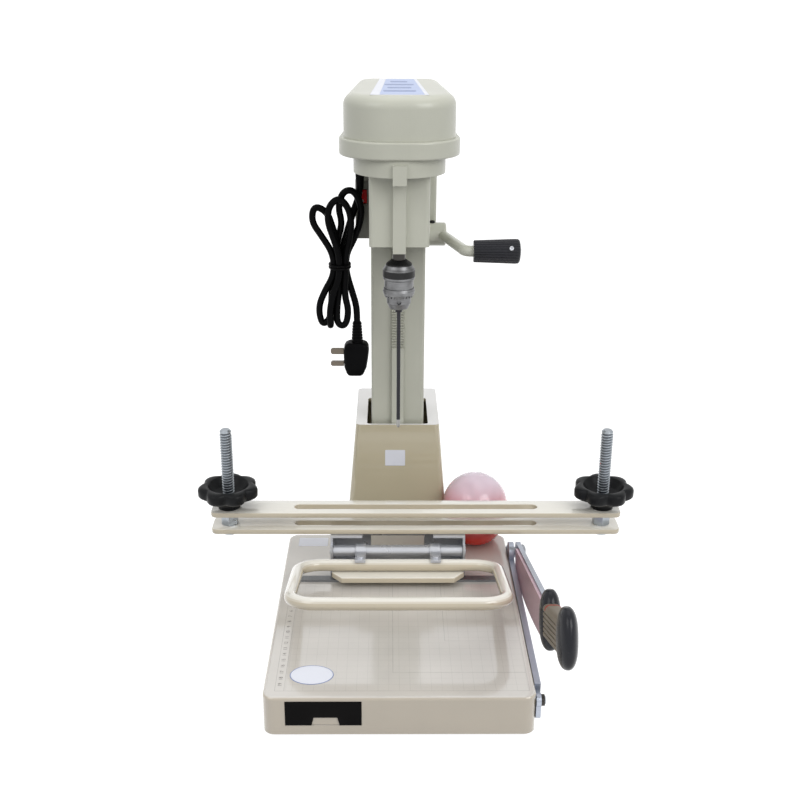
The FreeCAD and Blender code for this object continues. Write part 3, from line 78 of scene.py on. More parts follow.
CORD_R = 3.5 * MM
CORD_EXIT = (-40, 31, 418)
CORD_ROUTE = [            # millimetres: lead, three loops up, three down, tail
    (-40, 31, 424), (-40.6, 31.2, 411), (-46, 32.2, 396), (-52, 32.4, 378), (-58, 33.4, 358),
    (-61.5, 34.1, 344), (-61.5, 34.1, 332), (-63, 34.6, 320), (-66.5, 36, 307), (-71, 36.5, 293),
    (-72, 35.5, 276), (-72, 19.5, 272), (-72.5, 18.6, 290), (-69, 19.3, 308), (-63, 19.9, 323),
    (-61.5, 19.9, 338), (-62.5, 19, 353),
    (-67, 17.6, 368), (-73, 16.6, 386), (-71.5, 16.6, 402), (-61, 16.6, 411), (-51, 16.6, 400),
    (-48.5, 18, 384), (-51, 21, 365), (-55.3, 23.4, 349), (-55.3, 23.4, 334), (-56, 23.2, 322),
    (-56.5, 22.8, 306), (-52.5, 22.4, 290), (-56, 22.4, 273), (-65, 23, 275), (-65, 24, 292),
    (-62.5, 26, 312), (-61.5, 27, 327), (-61.5, 26.6, 344), (-64, 25.4, 362),
    (-68.5, 24.8, 380), (-74, 24.8, 395), (-87, 24.5, 401), (-90, 24, 385), (-80, 24, 370),
    (-71, 23.6, 356), (-67.7, 23.4, 345), (-67.7, 23.4, 333), (-70, 23.6, 324),
    (-77, 24.6, 312), (-85, 25.6, 293), (-81, 26.4, 272), (-71, 27.4, 282), (-71, 28, 304),
    (-69, 29.6, 322), (-67.7, 30.6, 338), (-66.5, 31.6, 352), (-63, 31.6, 366),
    (-58.5, 29.5, 382), (-62.5, 25, 400), (-57, 24.2, 416), (-45.5, 24.2, 417), (-38, 24.8, 400),
    (-40, 26, 383), (-46, 28.5, 366), (-54, 30.4, 351), (-55.4, 30.6, 338), (-54, 30, 326),
    (-49.5, 28.4, 311), (-45, 27.2, 296), (-44, 27, 285), (-44, 27, 272),
]
TIE_AT = (-61.5, 27, 338)
TIE_HALF = (11.0, 11.9)    # across and in depth

# The printed scale on the bed, millimetres
PRINT_LEFT, PRINT_COLUMN, PRINT_RIGHT = -116.0, -107.5, 121.0
PRINT_FRONT, PRINT_REAR = -240.0, -44.0
PRINT_PITCH, TICK_PITCH, TICK_LENGTH = 10.0, 1.0, 2.2
FINE_HALF, TICK_HALF, LINE_HALF = 0.16, 0.12, 0.22
FINE_INK, TICK_INK, LINE_INK = 0.2, 0.3, 0.42
PRINT_FORMATS = [         # darker lines of paper formats: x0, x1, y0, y1
    (-6.0, -6.0, -211.0, PRINT_REAR), (46.0, PRINT_RIGHT, -156.6, -156.6),
    (-6.0, PRINT_RIGHT, -211.0, -211.0), (46.0, 46.0, -156.6, PRINT_REAR),
]

NUMBER_COUNT, NUMBER_SIZE, NUMBER_LIFT = 20, 5.2, 0.03
NUMBER_SHIFT = 4.0        # from the grid's rear edge back to the first number

# Labels and marks, millimetres: x0, x1, y0, y1, then a centre with half widths, then places
REAR_LABEL = (-115, -81, 42.5, 63)
ROUND_LABEL, ROUND_LABEL_RING = (-83, -214.5, 20.0, 14.8), 0.8
LABEL_THICK = 0.1
COVER_LABEL = [(-28.5, -30), (27.5, -30), (19.5, 148), (-20.5, 148)]
COVER_PANEL = [(-19.5, -26), (23.5, -26), (16.5, 144), (-13.5, 144)]
COVER_BAR_HALVES, COVER_BAR_FRONT, COVER_BAR_PITCH, COVER_BAR_DEEP = (16, 12, 15, 9), 2.0, 34.0, 13
HOUSING_LABEL_AT, HOUSING_LABEL_HALF = (-2.7, 76.85, 97.0), (11.6, 9.8)
HOUSING_SETBACK = 4.7     # the housing's front slopes back by this over its height
ROCKER_RING_AT, ROCKER_LINE_AT = (-37.5, 35.95, 403.6), (-37.5, 37.6, 411.6)

# Heights on the CAD pieces where a finish changes, millimetres
CHUCK_GRIP_Z, CHUCK_SHOULDER_Z = (333.6, 340.6), 345.8
BIT_WORN_Z = 176.0
JAR_TOP_Z = 82.0

# Where the trimmer's grip starts: its pivot, then along the arm; tilts in degrees
TRIMMER_PIVOT = (136.5, 24.0, 2.0)
TRIMMER_ARM, ARM_TILT, GRIP_TILT = 255.0, 15.0, 23.0

ROD_HEAD_R, ROD_HEAD_H = 11.0, 4.0
JAR_SHIFT = (-4.5, 3.0, 1.0)    # the jar's axis from the CAD solid's, and its crown above it
CAD_CREASE = 28           # degrees, the sharpest edge that is shaded smooth on a CAD piece

# Camera: place in metres, pitch, yaw and roll in degrees
CAMERA_PLACE, CAMERA_LENS = (-0.0109, -1.117, 0.620), 50.4
CAMERA_PITCH, CAMERA_YAW, CAMERA_ROLL = 69.3, -0.65, 0.3

# Stage: the floor's own tone and how far it is lifted where it is seen, the world's strength
# above and at the horizon, and the soft boxes: name, place, target, size, power
FLOOR_HALF = 60.0
FLOOR_WHITE, FLOOR_LIFT = 0.36, 0.9
WORLD_TOP, WORLD_SIDE = 0.95, 0.24
SOFT_BOXES = [
    ("key", (1.3, -1.5, 1.5), (0, 0, 0.25), (1.4, 1.2), 19.0),
    ("fill", (-1.3, -1.4, 1.7), (0, 0, 0.1), (1.4, 1.2), 9.0),
    ("top", (0.1, 0.3, 2.2), (0, 0, 0), (1.8, 1.4), 5.0),
]


def mm(*values):
    return Vector([value * MM for value in values])


# ---------------------------------------------------------------- node arithmetic

class Wire:
    """A value in a material's node tree that takes part in plain arithmetic."""

    def __init__(self, tree, socket):
        self.tree, self.socket = tree, socket

    def math(self, operation, *others):
        node = self.tree.nodes.new("ShaderNodeMath")
        node.operation = operation
        self.tree.links.new(self.socket, node.inputs[0])
        for index, other in enumerate(others, 1):
            feed(self.tree, other, node.inputs[index])
        return Wire(self.tree, node.outputs[0])

    def __add__(self, other):
        return self.math("ADD", other)

    def __sub__(self, other):
        return self.math("SUBTRACT", other)

    def __mul__(self, other):
        return self.math("MULTIPLY", other)

    def above(self, other):
        return self.math("GREATER_THAN", other)

    def below(self, other):
        return self.math("LESS_THAN", other)

    def clamped(self, low, high):
        """0 below low, 1 above high, smooth between."""
        node = self.tree.nodes.new("ShaderNodeMapRange")
        node.interpolation_type = "SMOOTHSTEP"
        node.inputs[1].default_value, node.inputs[2].default_value = low, high
        self.tree.links.new(self.socket, node.inputs[0])
        return Wire(self.tree, node.outputs[0])


def feed(tree, value, socket):
    if isinstance(value, Wire):
        tree.links.new(value.socket, socket)
    else:
        socket.default_value = value


class Material:
    """A Principled material with helpers for its patterns. Coordinates are the frame's metres."""

    def __init__(self, name):
        self.material = bpy.data.materials.new(name)
        self.material.use_nodes = True
        self.tree = self.material.node_tree
        self.shader = self.tree.nodes["Principled BSDF"]
        self.place = self.tree.nodes.new("ShaderNodeTexCoord").outputs["Object"]
        self.normal = None

    def set(self, **inputs):
        for key, value in inputs.items():
            feed(self.tree, value, self.shader.inputs[key.replace("_", " ")])
        return self

    def axis(self, index):
        split = self.tree.nodes.new("ShaderNodeSeparateXYZ")
        self.tree.links.new(self.place, split.inputs[0])
        return Wire(self.tree, split.outputs[index])

    def facing(self, index):
        """One component of the true surface normal."""
        geometry = self.tree.nodes.new("ShaderNodeNewGeometry")
        split = self.tree.nodes.new("ShaderNodeSeparateXYZ")
        self.tree.links.new(geometry.outputs["True Normal"], split.inputs[0])
        return Wire(self.tree, split.outputs[index])

    def stretched(self, scale):
        node = self.tree.nodes.new("ShaderNodeMapping")
        node.inputs["Scale"].default_value = scale
        self.tree.links.new(self.place, node.inputs["Vector"])
        return node.outputs[0]

    def noise(self, scale, detail=3.0, stretch=None):
        node = self.tree.nodes.new("ShaderNodeTexNoise")
        node.inputs["Scale"].default_value = scale
        node.inputs["Detail"].default_value = detail
        node.inputs["Roughness"].default_value = 0.55
        place = self.stretched(stretch) if stretch else self.place
        self.tree.links.new(place, node.inputs["Vector"])
        return Wire(self.tree, node.outputs["Fac"])

    def wave(self, scale, axis):
        node = self.tree.nodes.new("ShaderNodeTexWave")
        node.bands_direction = axis
        node.inputs["Scale"].default_value = scale
        self.tree.links.new(self.place, node.inputs["Vector"])
        return Wire(self.tree, node.outputs["Fac"])

    def blend(self, share, low, high):
        node = self.tree.nodes.new("ShaderNodeMix")
        node.data_type = "RGBA"
        feed(self.tree, share, node.inputs["Factor"])
        for socket, colour in ((node.inputs[6], low), (node.inputs[7], high)):
            if isinstance(colour, Wire):
                self.tree.links.new(colour.socket, socket)
            else:
                socket.default_value = (*colour, 1.0)
        return Wire(self.tree, node.outputs[2])

    def round_edges(self, radius):
        """Rounds the corners in the shading, and gives a mask of where they are."""
        bevel = self.tree.nodes.new("ShaderNodeBevel")
        bevel.samples = 4
        bevel.inputs["Radius"].default_value = radius
        geometry = self.tree.nodes.new("ShaderNodeNewGeometry")
        dot = self.tree.nodes.new("ShaderNodeVectorMath")
        dot.operation = "DOT_PRODUCT"
        self.tree.links.new(bevel.outputs[0], dot.inputs[0])
        self.tree.links.new(geometry.outputs["Normal"], dot.inputs[1])
        self.normal = bevel.outputs[0]
        return Wire(self.tree, dot.outputs["Value"]).math("MULTIPLY_ADD", -1.0, 1.0).clamped(0.02, 0.22)

    def bump(self, height, strength, distance):
        node = self.tree.nodes.new("ShaderNodeBump")
        node.inputs["Strength"].default_value = strength
        node.inputs["Distance"].default_value = distance
        self.tree.links.new(height.socket, node.inputs["Height"])
        if self.normal:
            self.tree.links.new(self.normal, node.inputs["Normal"])
        self.normal = node.outputs[0]
        return self

    def done(self):
        if self.normal:
            self.tree.links.new(self.normal, self.shader.inputs["Normal"])
        return self.material


def shade(colour, factor):
    return tuple(min(1.0, value * factor) for value in colour)


def tone(red, green, blue):
    """A colour as the eye reads it, 0 to 255, in the linear values that a shader takes."""
    def linear(value):
        value /= 255.0
        return value / 12.92 if value <= 0.04045 else ((value + 0.055) / 1.055) ** 2.4
    return (linear(red), linear(green), linear(blue))


# ---------------------------------------------------------------- materials

def enamel(name, colour, rough=0.2, coat=0.6, peel=0.06):
    """Stoved enamel: slight orange peel, clouds in the tone, and corners painted paler as an edge highlight
    as well as wear.
    """
    m = Material(name)
    clouds = m.noise(9.0, 4.0)
    tint = m.blend(clouds.clamped(0.3, 0.7), shade(colour, 0.965), shade(colour, 1.03))
    corner = m.round_edges(0.0007)
    # Paler corners: a painted edge highlight, with some wear.
    tint = m.blend(corner * 0.5, tint, shade(colour, 1.1))
    m.set(Base_Color=tint, Roughness=m.noise(26.0, 3.0) * 0.12 + (rough - 0.06),
          Coat_Weight=coat, Coat_Roughness=0.06, Specular_IOR_Level=0.4)
    m.bump(m.noise(420.0, 2.0), peel, 0.0004)
    m.bump(m.noise(900.0, 2.0), 0.03, 0.0001)
    return m


def moulded(name, colour, rough=0.42, grain=0.12, coat=0.0, shine=0.3):
    """Moulded plastic or rubber with a fine grain, and corners painted paler as an edge highlight as well as
    wear.
    """
    m = Material(name)
    patches = m.noise(30.0, 4.0)
    tint = m.blend(patches.clamped(0.35, 0.7), shade(colour, 0.85), shade(colour, 1.2))
    corner = m.round_edges(0.0006)
    # Paler corners: a painted edge highlight, with some wear.
    tint = m.blend(corner * 0.5, tint, shade(colour, 1.7))
    m.set(Base_Color=tint, Roughness=m.noise(60.0, 3.0) * 0.16 + (rough - 0.08), Coat_Weight=coat,
          Coat_Roughness=0.16, Specular_IOR_Level=shine)
    m.bump(m.noise(1500.0, 2.0), grain, 0.0002)
    return m


def turned_metal(name, colour, rough=0.28, stretch=(30.0, 30.0, 900.0), lines=0.08):
    """Bare metal with tool marks across one axis, smears in its polish and corners painted bright as a
    highlight.
    """
    m = Material(name)
    marks = m.noise(1.0, 5.0, stretch)
    smears = m.noise(22.0, 3.0)
    tint = m.blend(marks, shade(colour, 0.86), shade(colour, 1.1))
    corner = m.round_edges(0.0004)
    # Bright corners: a painted highlight.
    tint = m.blend(corner * 0.6, tint, shade(colour, 1.25))
    m.set(Base_Color=tint, Metallic=1.0, Roughness=smears * 0.2 + (rough - 0.1))
    m.bump(marks, lines, 0.0002)
    return m


def bed_print(m, colour):
    """The printed scale on the bed: a fine grid, format lines and the number column's rails."""
    across, along = m.axis(0) * 1000.0, m.axis(1) * 1000.0
    top = m.facing(2).above(0.95)

    def between(value, low, high):
        return value.above(low) * value.below(high)

    def rule(value, at, half):
        return (value - at).math("ABSOLUTE").below(half)

    field = between(across, PRINT_COLUMN, PRINT_RIGHT) * between(along, PRINT_FRONT, PRINT_REAR)

    def grid(value, pitch, half):
        nearest = (value * (1.0 / pitch)).math("ROUND") * pitch
        return (value - nearest).math("ABSOLUTE").below(half)

    fine = grid(across, PRINT_PITCH, FINE_HALF).math("MAXIMUM", grid(along, PRINT_PITCH, FINE_HALF)) * field
    ticks = grid(along, TICK_PITCH, TICK_HALF) * between(across, PRINT_COLUMN, PRINT_COLUMN + TICK_LENGTH)
    ticks = ticks * between(along, PRINT_FRONT, PRINT_REAR)
    lines = None
    outline = [(x, x, PRINT_FRONT, PRINT_REAR) for x in (PRINT_LEFT, PRINT_COLUMN, PRINT_RIGHT)]
    outline.append((PRINT_LEFT, PRINT_RIGHT, PRINT_FRONT, PRINT_FRONT))
    for x0, x1, y0, y1 in PRINT_FORMATS + outline:
        if x0 == x1:
            mark = rule(across, x0, LINE_HALF) * between(along, y0, y1)
        else:
            mark = rule(along, y0, LINE_HALF) * between(across, x0, x1)
        lines = mark if lines is None else lines.math("MAXIMUM", mark)
    worn = m.noise(60.0, 3.0).clamped(0.25, 0.6) * 0.5 + 0.5
    ink = (fine * FINE_INK).math("MAXIMUM", ticks * TICK_INK).math("MAXIMUM", lines * LINE_INK)
    return m.blend(ink * top * worn, colour, tone(96, 92, 92))


def two_tone(name, side_colour, painted_top_light_colour, rough):
    """Glossy cream enamel painted paler where it faces up, as light falling from above."""
    m = enamel(name, side_colour, rough=rough, coat=1.0)
    side = Wire(m.tree, m.shader.inputs["Base Color"].links[0].from_socket)
    # Faces that look up blend to the paler tone: painted top light.
    m.set(Base_Color=m.blend(m.facing(2).clamped(0.35, 0.97), side, painted_top_light_colour))
    return m.done()


def bed_finish():
    """Glossy cream enamel with the print on top, painted darker and warmer at the sides as shade and paler
    and cooler on top as light from above.
    """
    m = enamel("bed_enamel", tone(188, 177, 159), rough=0.1, coat=1.0, peel=0.02)
    m.set(Coat_IOR=1.75, Coat_Roughness=0.1)
    side = Wire(m.tree, m.shader.inputs["Base Color"].links[0].from_socket)
    top = m.blend(m.noise(9.0, 4.0).clamped(0.3, 0.7), tone(196, 192, 186), tone(203, 199, 193))
    # The sides are painted darker as shade, the top paler as light from above.
    m.set(Base_Color=bed_print(m, m.blend(m.facing(2).clamped(0.6, 0.98), side, top)))
    return m.done()


def chrome_finish():
    """Satin chrome plate: soft streaks along the bar, a slightly uneven polish and corners painted nearly
    white as a highlight.
    """
    m = Material("chrome")
    corner = m.round_edges(0.0005)
    streaks = m.noise(1.0, 3.0, (14.0, 260.0, 260.0))
    # Corners are painted nearly white as a highlight.
    tint = m.blend(corner, m.blend(streaks, tone(186, 188, 193), tone(208, 210, 216)), tone(240, 242, 246))
    m.set(Base_Color=tint, Metallic=0.55, Roughness=m.noise(35.0, 3.0) * 0.14 + 0.22)
    m.bump(m.noise(120.0, 2.0), 0.02, 0.0003)
    return m.done()


def bit_finish():
    """Black oxide that is worn bright near the cutting edge."""
    m = Material("black_steel")
    worn = m.axis(2).below(BIT_WORN_Z * MM)
    marks = m.noise(1.0, 4.0, (40.0, 40.0, 1200.0))
    tint = m.blend(worn * 0.8, m.blend(marks, tone(38, 38, 40), tone(66, 66, 70)), tone(170, 170, 168))
    m.round_edges(0.0003)
    m.set(Base_Color=tint, Metallic=1.0, Roughness=marks * 0.15 + 0.26)
    m.bump(marks, 0.06, 0.0002)
    return m.done()


def chuck_finish():
    """Dull bands, a black knurled grip between them and a fine bump for the knurl."""
    m = Material("chuck_steel")
    height = m.axis(2) * 1000.0
    grip = height.above(CHUCK_GRIP_Z[0]) * height.below(CHUCK_GRIP_Z[1])
    dark = grip.math("MAXIMUM", height.above(CHUCK_SHOULDER_Z))
    marks = m.noise(1.0, 5.0, (60.0, 60.0, 1500.0))
    stains = m.noise(60.0, 4.0).clamped(0.35, 0.75)
    bright = m.blend(marks, tone(98, 98, 100), tone(152, 153, 154))
    bright = m.blend(stains * 0.6, bright, tone(74, 73, 73))
    tint = m.blend(dark, bright, tone(13, 13, 14))
    m.round_edges(0.0004)
    m.set(Base_Color=tint, Metallic=dark * -0.7 + 1.0, Roughness=dark * 0.1 + (marks * 0.2 + 0.3))
    m.bump(m.wave(520.0, "DIAGONAL") * grip, 0.25, 0.0004)
    m.bump(marks, 0.08, 0.0003)
    return m.done()


def jar_finish():
    """Clear red plastic: nearly colourless on its crown, a painted reflection of the bright surroundings, and
    deep red towards its base.
    """
    m = Material("red_clear")
    drop = m.axis(2).math("MULTIPLY_ADD", -1000.0, JAR_TOP_Z) + m.noise(26.0, 3.0) * 6.0
    low = drop.clamped(46.0, 74.0)
    # The pale crown is a painted reflection of the bright surroundings.
    tint = m.blend(drop.clamped(8.0, 46.0), tone(246, 236, 246), tone(238, 150, 158))
    tint = m.blend(low, tint, tone(236, 52, 36))
    m.set(Base_Color=tint, Roughness=0.07, Transmission_Weight=low * -0.5 + 0.6, IOR=1.3,
          Coat_Weight=0.6, Coat_Roughness=0.03)
    m.bump(m.noise(40.0, 2.0), 0.03, 0.001)
    return m.done()


def build_materials():
    """One finish for each material slot of the record, and those of single pieces and marks."""
    return {
        "bed_enamel": bed_finish(),
        # The housing and the bars are painted paler on top as light from above.
        "housing_enamel": two_tone("housing_enamel", tone(190, 181, 155), tone(222, 221, 220), 0.22),
        "head_enamel": enamel("head_enamel", tone(190, 191, 178), rough=0.34, coat=0.25, peel=0.12).done(),
        "bar_enamel": two_tone("bar_enamel", tone(198, 187, 164), tone(226, 223, 214), 0.16),
        "black_plastic": moulded("black_plastic", tone(20, 21, 23), rough=0.36, shine=0.14).done(),
        "black_rubber": moulded("black_rubber", tone(28, 29, 35), rough=0.26, grain=0.05, coat=0.35,
                                shine=0.1).done(),
        "grip_tan": moulded("grip_tan", tone(118, 108, 94), rough=0.5).done(),
        "rubber": moulded("rubber", tone(30, 30, 30), rough=0.7).done(),
        "grey_plastic": moulded("grey_plastic", tone(116, 116, 108), rough=0.45, grain=0.2).done(),
        "red_plastic": moulded("red_plastic", tone(190, 14, 20), rough=0.3, grain=0.02, shine=0.1).done(),
        "cord_black": moulded("cord_black", tone(9, 9, 10), rough=0.36, grain=0.05, shine=0.04).done(),
        "rule_metal": turned_metal("rule_metal", tone(142, 144, 147), rough=0.5,
                                   stretch=(900.0, 40.0, 40.0)).done(),
        "steel": turned_metal("steel", tone(150, 154, 160), rough=0.34).done(),
        "trimmer_steel": turned_metal("trimmer_steel", tone(176, 182, 194), rough=0.4).done(),
        "neck_steel": turned_metal("neck_steel", tone(66, 64, 62), rough=0.3).done(),
        "blade_steel": turned_metal("blade_steel", tone(206, 178, 190), rough=0.4,
                                    stretch=(60.0, 60.0, 700.0)).done(),
        "black_steel": bit_finish(),
        "chuck_steel": chuck_finish(),
        "chrome": chrome_finish(),
        "zinc": turned_metal("zinc", tone(166, 172, 178), rough=0.3, stretch=(80.0, 80.0, 200.0),
                             lines=0.03).done(),
        "red_clear": jar_finish(),
        "label_white": enamel("label_white", tone(224, 227, 237), rough=0.4, coat=0.3).done(),
        "label_panel": enamel("label_panel", tone(176, 190, 224), rough=0.45, coat=0.1).done(),
        "pin_metal": turned_metal("pin_metal", tone(112, 104, 94), rough=0.45).done(),
        # Painted shade for the roots of the rods' thread.
        "rod_root_shade": turned_metal("rod_root_shade", tone(96, 100, 105), rough=0.4).done(),
        "label_blue": enamel("label_blue", tone(128, 144, 186), rough=0.45, coat=0.1).done(),
        "ink": moulded("ink", tone(104, 100, 98), rough=0.6).done(),
        "drawer_black": moulded("drawer_black", tone(22, 21, 21), rough=0.5, shine=0.03).done(),
        "mark_white": moulded("mark_white", tone(225, 225, 225), rough=0.5, grain=0.02).done(),
        "red_line": moulded("red_line", tone(168, 34, 30), rough=0.4, grain=0.02).done(),
    }


# Nodes whose finish differs from the others of their slot
OWN_FINISH = {
    "fixed_blade": "trimmer_steel", "cutter_arm": "trimmer_steel", "cutter_latch": "trimmer_steel",
    "spindle": "neck_steel", "latch_bolt": "neck_steel", "accessory_drawer": "drawer_black",
}


MATERIALS = build_materials()


def dress_frame():
    """Gives every CAD node the finish of its slot and smooth shading between sharp edges."""
    for row in frame["record"]["subparts"]:
        piece = nodes[row["node"]]
        piece.data.materials.clear()
        piece.data.materials.append(MATERIALS[OWN_FINISH.get(row["node"], row["material_slot"])])
        smooth(piece, CAD_CREASE)


def smooth(piece, degrees=35):
    piece.data.shade_smooth()
    piece.data.set_sharp_from_angle(angle=math.radians(degrees))


# ---------------------------------------------------------------- mesh helpers

def finish_piece(piece, material, body):
    piece.data.materials.clear()
    piece.data.materials.append(MATERIALS[material])
    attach(piece, body)
    return piece


def new_piece(name, mesh_maker, material, body, degrees=35):
    mesh = bpy.data.meshes.new(name)
    form = bmesh.new()
    mesh_maker(form)
    bmesh.ops.recalc_face_normals(form, faces=form.faces)
    form.to_mesh(mesh)
    form.free()
    piece = bpy.data.objects.new(name, mesh)
    bpy.context.scene.collection.objects.link(piece)
    smooth(piece, degrees)
    return finish_piece(piece, material, body)


def rings_to_faces(form, rings, closed_ends=True):
    """Skins a list of vertex rings."""
    for lower, upper in zip(rings, rings[1:]):
        count = len(lower)
        for index in range(count):
            following = (index + 1) % count
            form.faces.new((lower[index], lower[following], upper[following], upper[index]))
    if closed_ends:
        form.faces.new(list(reversed(rings[0])))
        form.faces.new(rings[-1])


def lathe(form, profile, centre, axis=(0, 0, 1), count=48):
    """Turns (radius, distance) points, in millimetres, about an axis through centre."""
    turn = Vector((0, 0, 1)).rotation_difference(Vector(axis)).to_matrix()
    rings = []
    for radius, along in profile:
        ring = []
        for step in range(count):
            angle = 2 * math.pi * step / count
            local = Vector((radius * math.cos(angle), radius * math.sin(angle), along))
            ring.append(form.verts.new((turn @ local + Vector(centre)) * MM))
        rings.append(ring)
    rings_to_faces(form, rings)


def socket_head(form, centre, axis, radius, height, socket, depth):
    """A screw head with a chamfered rim and a hexagon socket."""
    turn = Vector((0, 0, 1)).rotation_difference(Vector(axis)).to_matrix()
    count = 36

    def ring(size, along, corners=0):
        points = []
        for step in range(count):
            angle = 2 * math.pi * step / count
            reach = size
            if corners:
                part = (angle + math.pi / corners) % (2 * math.pi / corners) - math.pi / corners
                reach = size * math.cos(math.pi / corners) / math.cos(part)
            local = Vector((reach * math.cos(angle), reach * math.sin(angle), along))
            points.append(form.verts.new((turn @ local + Vector(centre)) * MM))
        return points
    rings_to_faces(form, [ring(radius, 0), ring(radius, height - 0.5), ring(radius - 0.5, height),
                          ring(socket + 0.3, height, 6), ring(socket, height - 0.3, 6),
                          ring(socket, height - depth, 6)])


def slab(form, outline, z0, z1):
    """A flat plate from (x, y) points in millimetres."""
    rings = [[form.verts.new(mm(x, y, z)) for x, y in outline] for z in (z0, z1)]
    rings_to_faces(form, rings)


def rounded(x0, x1, y0, y1, radius, steps=6):
    """The outline of a rectangle with round corners, as (x, y) points."""
    points = []
    for cx, cy, start in ((x1 - radius, y1 - radius, 0), (x0 + radius, y1 - radius, 90),
                          (x0 + radius, y0 + radius, 180), (x1 - radius, y0 + radius, 270)):
        for step in range(steps + 1):
            angle = math.radians(start + 90 * step / steps)
            points.append((cx + radius * math.cos(angle), cy + radius * math.sin(angle)))
    return points


# ---------------------------------------------------------------- mains lead and plug

def cord_curve():
    curve = bpy.data.curves.new("mains_cord", "CURVE")
    curve.dimensions = "3D"
    curve.bevel_depth = CORD_R
    curve.bevel_resolution = 5
    curve.use_fill_caps = True
    spline = curve.splines.new("NURBS")
    spline.points.add(len(CORD_ROUTE) - 1)
    for point, place in zip(spline.points, CORD_ROUTE):
        point.co = (*mm(*place), 1.0)
    spline.order_u = 3
    spline.use_endpoint_u = True
    spline.resolution_u = 10
    piece = bpy.data.objects.new("mains_cord", curve)
    bpy.context.scene.collection.objects.link(piece)
    curve.materials.append(MATERIALS["cord_black"])
    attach(piece, "head")
    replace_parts(piece, "cord_lead", "cord_hank", "cord_tail")
    return piece


def line_length(piece):
    """The length of a curve's own line."""
    bare = piece.data.copy()
    bare.bevel_depth = 0.0
    carrier = bpy.data.objects.new("bare_line", bare)
    mesh = bpy.data.meshes.new_from_object(carrier)
    places = [vertex.co.copy() for vertex in mesh.vertices]
    bpy.data.meshes.remove(mesh)
    bpy.data.curves.remove(bare)
    return sum((b - a).length for a, b in zip(places, places[1:]))


def cord_tie():
    """A soft wire tie wound twice round the hank's waist."""
    def make(form):
        half_x, half_y = TIE_HALF
        for lift in (-1.4, 1.4):
            rings = []
            for step in range(48):
                angle = 2 * math.pi * step / 48
                out = Vector((math.cos(angle), math.sin(angle), 0))
                rise = lift + 0.5 * math.sin(angle)
                centre = Vector(TIE_AT) + Vector((half_x * out.x, half_y * out.y, rise))
                rings.append([])
                for part in range(10):
                    turn = 2 * math.pi * part / 10
                    local = out * (0.8 * math.cos(turn)) + Vector((0, 0, 1.3 * math.sin(turn)))
                    rings[-1].append(form.verts.new((centre + local) * MM))
            rings_to_faces(form, rings + [rings[0]], closed_ends=False)
    tie = new_piece("hank_tie", make, "cord_black", "head", 60)
    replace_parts(tie, "cord_tie")
    return tie


def plug_shell():
    """Moulded plug: shoulders that swell past its pins, a narrower foot and a ribbed neck."""
    lo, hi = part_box("plug_body")
    x0, y0, y1 = lo.x / MM, lo.y / MM, hi.y / MM
    foot, neck_top = lo.z / MM, hi.z / MM
    top = foot + 36.5
    stations = [            # rise, left, right, share of the depth
        (0.0, 4.5, 19.7, 0.72), (2.0, 3.0, 21.4, 0.84), (9.0, 0.6, 24.4, 0.94), (20.0, 0.0, 26.2, 1.0),
        (27.0, 0.0, 27.0, 1.0), (32.0, 0.6, 26.6, 0.98), (35.0, 2.4, 25.0, 0.9), (36.5, 5.0, 22.4, 0.76),
    ]

    def make(form):
        rings = []
        for rise, left, right, deep in stations:
            half_x, half_y = (right - left) / 2, (y1 - y0) / 2 * deep
            cx, cy = x0 + (left + right) / 2, (y0 + y1) / 2
            rings.append([form.verts.new(mm(cx + x, cy + y, foot + rise))
                          for x, y in rounded(-half_x, half_x, -half_y, half_y, min(half_x, half_y) * 0.5)])
        rings_to_faces(form, rings)
        profile, along = [], top - 3.0
        while along < neck_top - 3.0:
            reach = 6.2 - 1.5 * (along - top) / (neck_top - top)
            profile += [(reach, along), (reach, along + 1.6)]
            profile += [(reach - 0.9, along + 1.9), (reach - 0.9, along + 2.9)]
            along += 3.2
        lathe(form, profile + [(4.4, neck_top - 0.5), (4.0, neck_top)], (-44, (y0 + y1) / 2, 0), count=32)
    shell = new_piece("plug_shell", make, "cord_black", "head", 40)
    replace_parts(shell, "plug_body")
    return shell


def flat_pins():
    """Three dull flat pins with blunt tips: a deep one above and two narrower ones below."""
    lo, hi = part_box("plug_pins")
    x0, x1, y0, y1 = lo.x / MM, hi.x / MM, lo.y / MM, hi.y / MM
    upper, lower = hi.z / MM - 0.9, lo.z / MM + 0.9

    def make(form):
        for y, z, half in (((y0 + y1) / 2, upper, 3.3), (y0 + 2, lower, 2.4), (y1 - 2, lower, 2.4)):
            rings = []
            for x, share in ((x0, 0.55), (x0 + 1.6, 1.0), (x1, 1.0)):
                outline = rounded(-1.9 * share, 1.9 * share, -half * share, half * share, 0.7 * share, 3)
                rings.append([form.verts.new(mm(x, y + across, z + rise)) for across, rise in outline])
            rings_to_faces(form, rings)
    pins = new_piece("flat_pins", make, "pin_metal", "head", 30)
    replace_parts(pins, "plug_pins")
    return pins


def make_cord():
    cord = cord_curve()
    tie, shell, pins = cord_tie(), plug_shell(), flat_pins()
    mm(*CORD_EXIT)
    round(line_length(cord), 3)


# ---------------------------------------------------------------- bed

